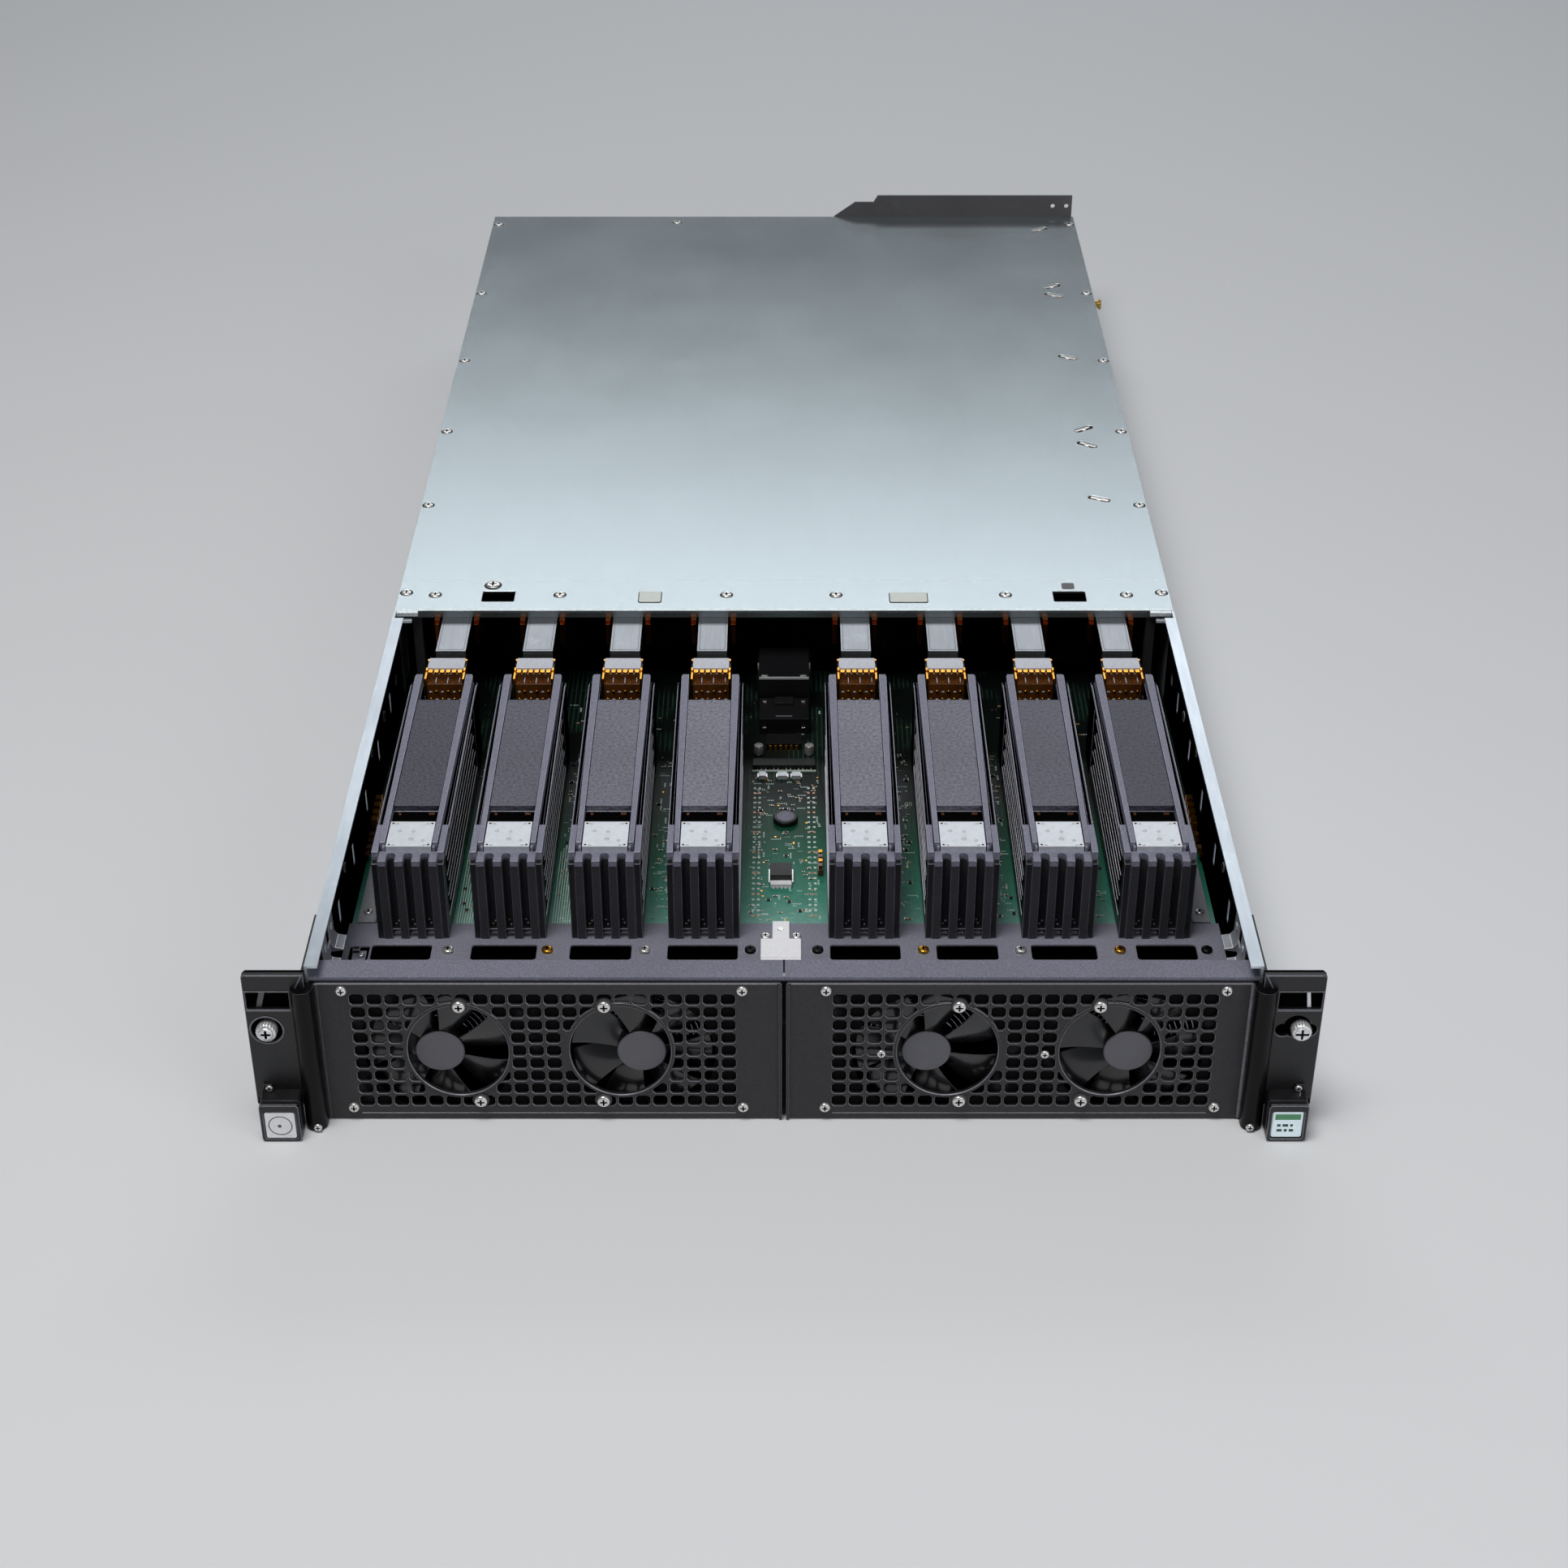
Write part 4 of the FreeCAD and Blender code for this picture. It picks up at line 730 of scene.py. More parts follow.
def add_small_part(parts, x, y, x_end, y_end, kind, pick):
    """A chip with two end caps, one with four legs, a row of pads, a round pad or a printed line."""
    if kind < 0.34:
        w, l, h = ((1, 0.6, 0.35), (1.6, 0.8, 0.5), (0.5, 1, 0.35))[int(pick * 3)]
        parts.box(x - w / 2, x + w / 2, y - l / 2, y + l / 2, 0, h, 1 if pick < 0.7 else 0)
        for s in SIDES:
            dx, dy = (s * (w / 2 + 0.12), 0) if w > l else (0, s * (l / 2 + 0.12))
            a, b = (0.12, l / 2) if w > l else (w / 2, 0.12)
            parts.box(x + dx - a, x + dx + a, y + dy - b, y + dy + b, 0, h * 0.9, 2)
    elif kind < 0.42:
        parts.box(x - 0.9, x + 0.9, y - 0.8, y + 0.8, 0, 0.8)
        for dy in (-0.45, 0.45):
            parts.pairs((0.9, 1.25, y + dy - 0.15, y + dy + 0.15, 0, 0.3, 2), centre=x)
    elif kind < 0.84:
        along = pick < 0.5
        w, l = (0.45, 0.9) if along else (0.9, 0.45)
        for i in range(2 + int(pick * 9) % 5):
            a, b = (x + i * 0.9, y) if along else (x, y + i * 0.9)
            if a + w < x_end and b + l < y_end and abs(a) < 198:
                parts.box(a, a + w, b, b + l, 0, 0.06, 3)
    elif kind < 0.93:
        r = 0.35 + 0.25 * pick
        parts.rings((x, y, 0), UP, [(r, 0), (r, 0.05)], 10, mat=4 if pick < 0.5 else 5)
    else:
        parts.box(x - 1.4, x + 1.4, y - 0.08, y + 0.08, 0, 0.06, 3)


def make_small_parts():
    """Small parts and printed marks, strewn over the free stretches of the board."""
    parts = Shape(z=BOARD)
    stretches = [(-19, 19, 106, 240, 200), (-211, -197, 106, 300, 50),
                 (197, 211, 106, 300, 50), (-200, 200, 279, 318, 120)]
    stretches += [(a + MODULE_REACH, b - MODULE_REACH, 106, 262, 70)
                  for a, b in zip(MODULES, MODULES[1:]) if a * b > 0]
    for x0, x1, y0, y1, count in stretches:
        for _ in range(count):
            x, y = rng.uniform(x0 + 1.2, x1 - 1.2), rng.uniform(y0 + 1.2, y1 - 1.2)
            kind, pick = rng.random(), rng.random()
            on_rail = 198.5 < abs(x) < 209.5
            on_chip = abs(x - 0.8) < 8.5 and abs(y - 196.8) < 8.5 or -9 < x < 6 and 134 < y < 156
            if not (on_rail or on_chip):
                add_small_part(parts, x, y, x1, y1, kind, pick)
    for x in MODULES[:2]:
        for i in range(9):
            a = x + MODULE_REACH + 0.8 + i * 1.2
            parts.box(a, a + 0.4, 105.6, 168 + 3 * (i % 3), 0, 0.5, 3)
    for x in (-16, -13.4, 12.2, 15):
        for i in range(26):
            y = 112 + i * 4.6
            parts.box(x, x + 1.3, y, y + 1.5, 0, 0.06, 3 if i % 4 else 4)
    piece("board_small_parts", parts, "chip tan screw silk pink gold")


def make_board_parts():
    parts = Shape(z=BOARD)
    for x in MODULES:
        parts.box(x - 12, x + 12, 120, 210, 0, 2)
    # round processor in the aisle
    parts.rings((0.8, 196.8, 0), UP, [(6.4, 0), (6.4, 2.4), (6, 2.9), (5.2, 3)], 40)
    parts.rings((0.8, 196.8, 3), UP, [(4.6, 0), (4.5, 0.06)], 40, mat=4)
    # connector with a white base
    parts.boxes((-7, 4, 140, 151, 0, 5.4, 0), (-6.8, 3.8, 136.4, 140, 0, 2.2, 2),
                (-7.7, -7, 139, 150, 0, 2, 6), (4, 4.7, 139, 150, 0, 2, 6))
    parts.row(5, 2, -5.6, -4.8, 135.2, 136.6, 0, 0.5, 6)
    # pale connectors in a row behind the processor, and the long one behind them
    for x0, x1 in ((-13.4, -9.6), (-3.4, 1.6), (4.2, 8.8)):
        parts.boxes((x0, x1, 236.4, 240.6, 0, 2.4, 5), (x0 - 0.8, x0, 236.8, 240.2, 0, 1.4, 6),
                    (x1, x1 + 0.8, 236.8, 240.2, 0, 1.4, 6))
    parts.boxes((-17, 17, 243.6, 244.2, 0, 1, 7), (-16.5, 16.5, 246, 252.5, 0, 3, 0))
    for i in range(14):
        parts.box(-14.6 + i * 2.2, -13.8 + i * 2.2, 244.8, 246.2, 0, 0.9, 6 if i % 3 else 3)
    # glossy block under the cover's edge, its bright front edge, a painted highlight in the pale plate
    # colour, and the sockets before it
    parts.boxes((-14.5, 14.5, 306, 338, 0, 20, 0), (-13.6, 13.6, 306.4, 338, 20, 22, 9),
                (-13.6, 13.6, 305.6, 306.4, 20.6, 21.8, 5), (-13.5, 13.5, 282, 304, 0, 9.6, 0),
                (-5, 5, 296, 302.6, 9.6, 11.4, 9), (-4.4, 4.4, 284.6, 285.2, 9.6, 9.9, 4),
                (-9.5, 9.5, 266, 276, 0, 4, 0))
    parts.pairs((8.8, 12.4, 306.8, 308.4, 22, 22.1, 6), (13.8, 14.6, 318, 320.6, 20, 22.6, 6),
                (9.6, 11.6, 281.2, 282, 4, 4.6, 6), (9.6, 11.6, 299, 300.6, 9.6, 10.2, 6))
    parts.row(6, 2.8, -8, -6.6, 265.4, 266, 0, 3, 1)
    for x in (-13.6, 13.6):
        parts.rings((x, 262, 0), UP, [(2.9, 0), (2.9, 0.8), (2.6, 0.9), (2.6, 5.2), (2.3, 5.6)], 24,
                    mats=[0, 0, 6, 6, 6])
    # contact stacks beside the middle modules and at the walls
    parts.box(17, 19.6, 146.5, 163.5, 0, 3.6, 3)
    for i in range(4):
        y = 185 + i * 6
        parts.box(17.4, 19.4, 148 + i * 4, 150.6 + i * 4, 0, 5.5, 1 if i % 2 else 3)
        parts.pairs((208.5, 212, y, y + 3.9, 2.7, 8.4 + 0.4 * i, 1),
                    (209.6, 212.2, y - 0.8, y + 4.6, 0, 7, 3),
                    (209.8, 212, y - 26, y - 22.6, 2.7, 4.6, 3 if i % 2 else 8))
    piece("board_parts", parts, "chip gold white amber rail plate screw silk copper gloss", 0.3,
          "baseboard_parts")


make_small_parts()
make_board_parts()


# Walls, rails and clips in the bay

HOOK = [(WALL, 58), (WALL, 74), (WALL - 1, 74), (WALL - 1.2, 63), (WALL - 3, 60.6), (WALL - 6.8, 60),
        (WALL - 7, 59), (WALL - 3, 58.4)]


def make_bay_sides():
    rails, clips, marks = Shape(z=BOARD), Shape(), Shape()
    rails.pairs((WALL - 12.8, WALL - 4.1, 104.1, 318, 0, 2.6, 0),
                (WALL - 12.2, WALL - 11.6, 104.4, 317.6, 2.6, 2.9, 0),
                (SIDE - 14.3, SIDE - 9.3, BAY + 1.5, BAY + 7.5, 0, TOP - 1.2 - BOARD, 3))
    clips.pairs((WALL - 1.1, WALL, 33, 62, 58, 65), (WALL - 9, WALL - 0.4, 20, 30, DECK, DECK + 1.2),
                (WALL - 1.4, WALL - 0.3, 20, 44, DECK, DECK + 16))
    for side in SIDES:
        inward = (-side, 0, 0)
        for y in (112, 214, 305):
            screw(rails, (side * (WALL - 8.4), y, 2.6), UP, 2.3, 1.2, 1, 2)
        for y in (33, 51):
            clips.prism([(side * x, z) for x, z in HOOK], "y", y, y + 11)
            clips.rings((side * (WALL - 1), y + 5.5, 69), inward, [(2, 0), (1.9, 0.5), (1.2, 0.8)], 20, mat=1)
        for y, z, r in ((106, 68, 2.6), (206, 70, 2.2), (252, 64, 3)):
            marks.rings((side * (WALL - 0.3), y, z), inward,
                        [(r, 0), (r, 0.4), (r * 0.7, 0.4), (r * 0.66, 0.1)], 24, mats=[0, 0, 1])
        # A near-black sheet laid over the inner face of each wall: painted shade, since the walls' inner
        # faces stand in shadow; its hole edges take a painted highlight.
        holes = [rounded(y - 2, y + 2, 52, 64, 0.6, 3) for y in (84, 132, 180, 228, 276)]
        sheet("wall_shade_sheet_" + NAMES[side], [(14.6, 13), (323, 13), (323, 86.6), (14.6, 86.6)],
              holes + [circle(300, 58, 3.2, 24)], 0.3, "side", side * (WALL - 0.16), "pitch grille_edge", 0.1)
    piece("bay_rails", rails, "strip screw recess grille", 0.25, "bay_brackets")
    piece("wall_clips", clips, "strip screw", 0.25, edge="steel_edge")
    piece("wall_marks", marks, "strip dark")


make_bay_sides()


# Accelerator modules

(_, NOSE, FLOOR), (_, HEEL, _) = corners("gpu_heatsink_1")
HALF = (corners("gpu_heatsink_1")[1][0] - corners("gpu_heatsink_1")[0][0]) / 2
BAND, BAND_TOP = 78.9, 82
RIB_EDGE = HALF - 3
RIB_END = 99.5
COVER_END = 258.5
TOWER_FACE = 256.4


def comb(slot_half=1.95, steps=6):
    """Outline, seen from above, of the ribbed front: three slots run in from the front to round ends."""
    pts = [(-RIB_EDGE, NOSE)]
    for x in (-8.1, 0, 8.1):
        pts.append((x - slot_half, NOSE))
        for t in [pi - pi * i / steps for i in range(steps + 1)]:
            pts.append((x + slot_half * cos(t), NOSE + 5.2 + slot_half * sin(t)))
        pts.append((x + slot_half, NOSE))
    return pts + [(RIB_EDGE, NOSE), (RIB_EDGE, RIB_END), (-RIB_EDGE, RIB_END)]


def module_front():
    """Four ribs with the pale band over them, dark cheeks, and bright contacts deep in the slots."""
    ribs = Shape()
    ribs.prism([(x, y + 0.3 * (y < NOSE + 1)) for x, y in comb()], "z", FLOOR, BAND)
    ribs.prism(comb(), "z", BAND, BAND_TOP, 4)
    ribs.pairs((RIB_EDGE, HALF, NOSE + 0.8, 98.5, FLOOR, 80, 1),
               (HALF - 0.6, HALF, 98.5, 233.5, FLOOR, 44, 1))
    ribs.box(-RIB_EDGE, RIB_EDGE, NOSE + 1.4, NOSE + 3.4, FLOOR + 4.2, FLOOR + 5, 1)
    for x, z, mat in ((-8.6, 41.2, 3), (-7.4, 42.8, 5), (0.2, 40.8, 5), (-0.6, 43.4, 3), (8.3, 41.6, 5),
                      (7.5, 43.6, 3)):
        ribs.box(x - 0.6, x + 0.6, NOSE + 5.4, NOSE + 6.2, z, z + 0.9, mat)
    return ribs


def module_fins():
    """Thin fins along both sides, with a few bright flecks between them, and pale glowing strips at their
    outer edges that paint highlights on the fins.
    """
    fins = Shape()
    fins.box(-HALF + 0.22, HALF - 0.22, RIB_END, HEEL - 1.4, FLOOR, 80, 1)
    for i in range(7):
        z = 41.6 + i * 5.5
        fins.pairs((15.4, HALF - 0.18, 98.5 + (i * 7) % 5, HEEL - 1.2 - (i * 11) % 7, z, z + 1.2, 0),
                   (HALF - 0.6, HALF - 0.03 * (i % 3), 99.5 + (i * 5) % 9, HEEL - 2 - (i * 7) % 12, z + 2.6,
                    z + 3.1, 3))
    for y in (140, 186, 214):
        fins.pairs((15.4, HALF - 0.15, y, y + 1.4, 45, 80, 0))
    for y, z in ((118, 60.4), (151, 68.2), (168, 55.2), (203, 73.4), (226, 63)):
        fins.pairs((15.4, HALF - 0.1, y, y + 3, z, z + 1.2, 2))
    return fins


def module_cover():
    """Top: side rails that widen to the rear, wings in front, and the well that the contacts stand in."""
    cover = Shape()
    rail = ((11.35, 101), (13.7, 101), (15.2, 256.6), (14.6, COVER_END), (11.35, COVER_END))
    for s in SIDES:
        cover.prism([(s * x, y) for x, y in rail], "z", 81, 86.1)
    # the thin strip at each outer top edge takes the pale glowing colour, a painted highlight
    cover.pairs((14.2, HALF, 95, 118.5, 78, 84.4, 0), (15.3, HALF, 118.5, COVER_END - 0.6, 78.6, 81.2, 1),
                (HALF - 0.35, HALF, 118.5, 252, 81.2, 83.4, 2), (11.35, 12.5, 98.9, 101, 82, 84.6, 0),
                (11.3, HALF, HEEL + 0.6, COVER_END, FLOOR, 80.2, 1))
    cover.boxes((-HALF + 0.4, HALF - 0.4, 99.5, HEEL, 79.9, 81, 1), (-11, 11, 133.4, HEEL - 0.6, 81, 82.2, 1),
                (-11.3, 11.3, HEEL - 1, COVER_END - 2.6, FLOOR, 64, 1))
    return cover


def module_plate():
    """The plain plate in front of the lid, with round marks on it."""
    plate = Shape()
    plate.boxes((-10.8, 10.8, 98.9, 120.2, 81.5, 85, 0), (-10.2, 10.2, 120.2, 121, 81.2, 83.2, 3))
    for x, y, r in ((-5.6, 112.2, 1.1), (1, 111.6, 0.9), (0.6, 105.4, 1.35), (6.4, 104, 0.9)):
        plate.rings((x, y, 85), UP, [(r, 0), (r, 0.08), (r * 0.7, 0.1), (r * 0.65, 0.04)], 24, mat=1)
    for y in (100.4, 118.6):
        plate.pairs((6.6, 8.2, y - 0.5, y - 0.1, 85, 85.06, 3))
        for x in (-9.4, 9.4):
            plate.rings((x, y, 85), UP, [(0.75, 0), (0.7, 0.1), (0.35, 0.1), (0.3, 0.02)], 16, mats=[1, 3, 2])
    return plate


def module_lid():
    """The textured lid, and the dark gap before it."""
    lid = Shape()
    lid.prism(rounded(-11.1, 11.1, 133.6, 233.6, 0.8, 3), "z", 82, 85.4)
    lid.boxes((-11, 11, 121, 133.4, 80.9, 81.3, 1), (-8.8, -7.4, 130.8, 132.4, 81.3, 82.2, 2),
              (6, 8.8, 131, 132.6, 81.3, 82.2, 2))
    return lid


def module_rear():
    """Gold contact tower behind the lid, and the pale cap that covers the plug behind it."""
    rear = Shape()
    rear.boxes((-9.6, 9.6, TOWER_FACE, 263.4, 60, 81.2, 1), (-9.3, 9.3, 261.4, 263.6, 81.2, 84.4, 1),
               (-10.4, 10.4, 264.8, 275.6, 74, 84.4, 0))
    rear.pairs((9.4, 10.5, TOWER_FACE - 0.5, 263.6, 62, 84.8, 2), (9.3, 10.5, 263.6, 266.4, 83.6, 85.6, 2),
               (9.3, 10.5, 273.6, 275.4, 83.6, 85.6, 2))
    rear.prism(rounded(-9.6, 9.6, 265, 275.6, 0.7, 3), "z", 84.4, 86, 3)
    for i in range(6):
        x = -7.75 + i * 3.1
        rear.boxes((x - 1.15, x + 1.15, 260.9, 263.8, 84.4, 85.9, 2),
                   (x - 0.5, x + 0.5, 263.8, 265, 84.4, 85, 2),
                   (x - 0.3, x + 0.2, TOWER_FACE + 0.6 * (i % 3), 261.4, 81.2, 82 + 0.3 * (i % 2), 2 + i % 2))
        for j in range(3):
            z = 67.4 + j * 4.6
            if (i + j) % 2:
                rear.rings((x, TOWER_FACE, z), TO_FRONT, [(0.95, 0), (0.8, 0.4), (0.4, 0.6)], 10, mat=2)
            else:
                rear.box(x - 0.6, x + 0.9, TOWER_FACE - 0.3, TOWER_FACE, z - 0.5, z + 0.3, 3)
    return rear


for number, x in enumerate(MODULES, 1):
    # the middle lids are paler than the outer ones: a painted reflection of the light over the middle
    lid = "lid_%d" % (max(number, 9 - number) - 5)
    for label, builder, finishes, bevel, node, slot, edge in (
            ("ribs", module_front, "rib black pitch gold rail screw", 0.3, "", "black_aluminium", "rib_edge_highlight"),
            ("fins", module_fins, "fin pitch gold fin_edge", 0, "gpu_heatsink_", "black_aluminium", ""),
            ("cover", module_cover, "rail pitch fin_edge", 0.35, "gpu_cover_", "module_grey", "rail_edge_highlight"),
            ("plate", module_plate, "plate cap recess amber", 0.12, "", "module_grey", ""),
            ("lid", module_lid, lid + " dark amber", 0.4, "", "module_grey", ""),
            ("contacts", module_rear, "chip amber gold cap", 0.2, "", "module_grey", "")):
        piece("module_%s_%d" % (label, number), builder(), finishes, bevel, node and node + str(number),
              "gpu_%d" % number, edge, (x, 0, 0))


def make_straps():
    straps, hoods = Shape(), Shape()
    y, z = corners("power_straps")[0][1], corners("power_straps")[1][2]
    for x in MODULES:
        straps.boxes((x - 8, x + 8, y, 344, z - 1.5, z, 0), (x - 8, x + 8, y, y + 1, z - 4.5, z - 1.5, 0),
                     (x - 7, x + 7, y + 1.4, y + 1.7, z, z + 0.07, 1))
        straps.pairs((6.7, 7, y + 1.4, 330, z, z + 0.07, 1), (8, 8.5, y + 12, 344, z - 3.6, z + 0.2, 3),
                     (9.6, 12, 318, 342, 70, z - 0.8, 2), (9.4, 12.2, 320, 326, 78, z + 0.8, 2),
                     centre=x)
        hoods.box(x - 11, x + 11, 344, 352, 69.4, z)
        hoods.row(5, 4, x - 9, x - 6.6, 343.4, 344, 72, 80.4, 1)
    piece("strap_plates", straps, "strap bracket copper dark", 0.2, "power_straps")
    piece("strap_connectors", hoods, "chip gold", 0.3, "power_connectors")


make_straps()


# Cover

COVER_SCREWS = [(s * (SIDE - 4.3), y) for s in SIDES for y in (344.1, 451, 551.7, 659.6, 773.8, 904.6)]
COVER_SCREWS += [(x, 341.7) for x in (-193, -124, -31.8, 28.8, 122.6, 189.6)] + [(-78.5, 909)]
CLIPS = ((894.2, 30), (786.2, 30), (770.2, -30), (664.8, -30), (555.4, 35), (533, -35), (459.3, -25))
CLIP_X = SIDE - 27.2
PLUG = (-162, 352.5)


def make_cover():
    slot = rounded(-6.8, 6.8, -2.5, 2.5, 2.4, 5)
    holes = [rounded(x - 9, x + 9, 334, 346, 0.8, 3) for x in (-157.9, 157.9)]
    holes += ([turned(slot, turn, CLIP_X, y) for y, turn in CLIPS]
              + [circle(x, y, 3.6, 28) for x, y in COVER_SCREWS])
    sheet("cover_sheet", rounded(-SIDE, SIDE, BAY, REAR, 0.6, 2), holes, 1.2, "top", TOP - 0.6,
          "cover cover_edge", 0.2, "top_cover")
    fold, trim, clips, pads, plug = [Shape(z=TOP) for _ in range(5)]
    # The line across the cover marks a real seam, drawn in the lighter edge colour as a painted highlight;
    # the strip along the front fold and the short strips at the front corners are painted highlights too.
    fold.boxes((-SIDE + 10, SIDE - 10, BAY, BAY + 1.2, -4.4, -1.2, 0),
               (-SIDE + 4, SIDE - 4, BAY + 34.5, BAY + 34.75, -0.05, 0.01, 1),
               (-SIDE + 1.2, SIDE - 1.2, BAY, BAY + 1.8, -0.02, 0.08, 1))
    fold.pairs((200.5, SIDE - 1.4, BAY - 2.6, BAY + 0.2, -2.4, -0.2, 2),
               (204, SIDE - 1.4, BAY - 3.4, BAY - 0.4, -6, -4.6, 2))
    piece("cover_fold", fold, "cover cover_edge steel_edge")
    for x, y in COVER_SCREWS:
        trim.rings((x, y, -1.1), UP, [(3.6, 0), (3.6, 0.3), (3, 0.5)], 28, mat=1)
        screw(trim, (x, y, -0.8), UP, 2.9, 1.4)
    piece("cover_screw_heads", trim, "screw recess", 0, "cover_screws")
    for y, turn in CLIPS:
        for low, high, top, mat in ((0.1, 2.2, -0.5, 0), (-2.2, -0.5, -1.3, 1)):
            clips.prism(turned([(-5.6, low), (5.6, low), (5.6, high), (-5.6, high)], turn, CLIP_X, y), "z",
                        -3.6, top, mat)
        clips.rings((CLIP_X, y, -1), UP, [(1.7, 0), (1.6, 0.7), (0.8, 0.8)], 20)
    clips.pairs((145.5, 170.5, 333, 347, -5.6, -4.6, 2))
    piece("cover_clips", clips, "screw copper dark", 0.2)
    for x0, x1, y0, y1 in ((-80, -68, 333, 344.5), (58.5, 79, 333, 343.5)):
        pads.prism(rounded(x0, x1, y0, y1, 1, 3), "z", 0, 0.5)
        pads.prism(rounded(x0 - 0.5, x1 + 0.5, y0 - 0.5, y1 + 0.5, 1.2, 3), "z", 0, 0.12, 1)
    piece("cover_pads", pads, "pad recess", 0.12)
    plug.rings((*PLUG, -0.1), UP, [(4.9, 0), (4.9, 0.15), (4.3, 0.2)], 32, mat=1)
    screw(plug, (*PLUG, 0), UP, 4, 1.2)
    plug.prism(rounded(154.5, 161.5, 348.5, 355, 1.2, 3), "z", 0, 0.25, 2)
    piece("cover_plug", plug, "screw recess bracket", 0.08)


make_cover()


# Rack ears, thumbscrews and pods: a Shape with a side is written for the right one

EAR_OUT, _, EAR_TOP = corners("ear_right")[1]
KNOB_X, KNOB_Z = (middle("thumbscrew_right", k) for k in (0, 2))
WINDOW = (221, EAR_OUT - 1, 66.8, 76.6)
COLUMN_X, COLUMN_R = SIDE + 1.5, 5
POD_X, POD_HALF, POD_Z = middle("control_pod_right", 0), 9, middle("status_display", 2)
POCKET_X, POCKET_Z = 7.3, 7.8


def lobed(cx, cz, lobes, steps=72):
    """Outline of round lobes that overlap around a middle point; each has its offset and its radius."""
    outline = []
    for t in [2 * pi * i / steps for i in range(steps)]:
        reach = 0
        for dx, dz, r in lobes:
            along = dx * cos(t) + dz * sin(t)
            inside = r * r - (dx * dx + dz * dz - along * along)
            if inside > 0:
                reach = max(reach, along + sqrt(inside))
        outline.append((cx + reach * cos(t), cz + reach * sin(t)))
    return outline


def make_ear(side):
    name = NAMES[side]
    outline = [(SIDE, 12), (EAR_OUT - 0.6, 12), (EAR_OUT, 12.8), (EAR_OUT, EAR_TOP - 1.5),
               (EAR_OUT - 1.5, EAR_TOP), (SIDE, EAR_TOP)]
    outline, window = ([(side * x, z) for x, z in ring] for ring in (outline, rounded(*WINDOW, 0.7, 3)))
    knob_hole = circle(side * KNOB_X, KNOB_Z, 7, 40)
    if side > 0:
        knob_hole = lobed(230.6, KNOB_Z + 0.6, ((0, 1.2, 6.2), (-6.2, -0.8, 3.6), (5.8, -0.8, 3.4)))
    sheet("ear_face_" + name, outline, [window, knob_hole], 2.6, "front", -2.7, "black black_edge", 0.3,
          "ear_" + name)
    # A near-black sheet behind the ear face fills its window with painted shade, in place of the floor that
    # would show through.
    sheet("ear_window_shade_" + name, outline, [circle(side * KNOB_X, KNOB_Z, 2.9, 24)], 1.4, "front", -0.7, "dark",
          0.1)
    ear = Shape(side=side)
    for y in (14, 30):
        for z in (26, 66):
            screw(ear, (SIDE + 1.5, y, z), (1, 0, 0), 2.3, 1.1, 1, 2)
    column = [(COLUMN_X - COLUMN_R * cos(t), -4 - 4.95 * sin(t)) for t in [pi * i / 14 for i in range(15)]]
    ear.prism(column + [(COLUMN_X + COLUMN_R, -0.1), (COLUMN_X - COLUMN_R, -0.1)], "z", 0.4, 79, 6)
    left, _, low, high = WINDOW
    # the thin strips above and below the window and along the top edge, and the slanted line above the
    # column, take the lighter edge colour: painted highlights
    ear.boxes((SIDE, SIDE + 1.5, 0, 42, 12, EAR_TOP, 0), (233.6, 237.4, -5.2, -4, 20.9, 24.6, 0),
              (left - 0.6, EAR_OUT - 0.4, -4.28, -3.9, high, high + 0.5, 3),
              (left - 0.6, EAR_OUT - 0.4, -4.3, -3.9, low - 0.9, low - 0.2, 3),
              (SIDE + 0.4, EAR_OUT - 2, -4.2, -3.9, EAR_TOP - 0.7, EAR_TOP - 0.15, 3),
              (221, EAR_OUT - 0.4, -4.5, -3.9, 12.6, 15.4, 5))
    ear.prism([(218.2, 76.8), (218.9, 76.8), (214.6, 85.9), (213.9, 85.9)], "y", -4.35, -3.9, 3)
    # the slanted bar in the window
    a, b, c, d, mat = (234, 236.5, 234.1, 231.5, 7) if side < 0 else (234.3, 236.1, 234.9, 233.3, 4)
    ear.prism([(a, 66.9), (b, 66.9), (c, 76.5), (d, 76.5)], "y", -2.3, -1.4, mat)
    # the middle band of the ring round the knob hole takes the lighter edge colour, a painted highlight
    if side < 0:
        ear.rings((KNOB_X, -4, KNOB_Z), TO_FRONT, [(7.9, 0), (7.9, 0.25), (7.2, 0.4), (7, 0)], 44,
                  mats=[0, 3, 0], closed=False)
    screw(ear, (234.7, -4.9, 22.6), TO_FRONT, 1.6, 1.2, 1, 2)
    screw(ear, (213.8, -8.9, 2.7), TO_FRONT, 1.9, 1.2, 1, 2)
    piece("ear_trim_" + name, ear, "black screw recess black_edge button dark column bracket", 0.22,
          edge="black_edge")


def ridged(r):
    return lambda t: r * (1 + 0.035 * cos(18 * t))


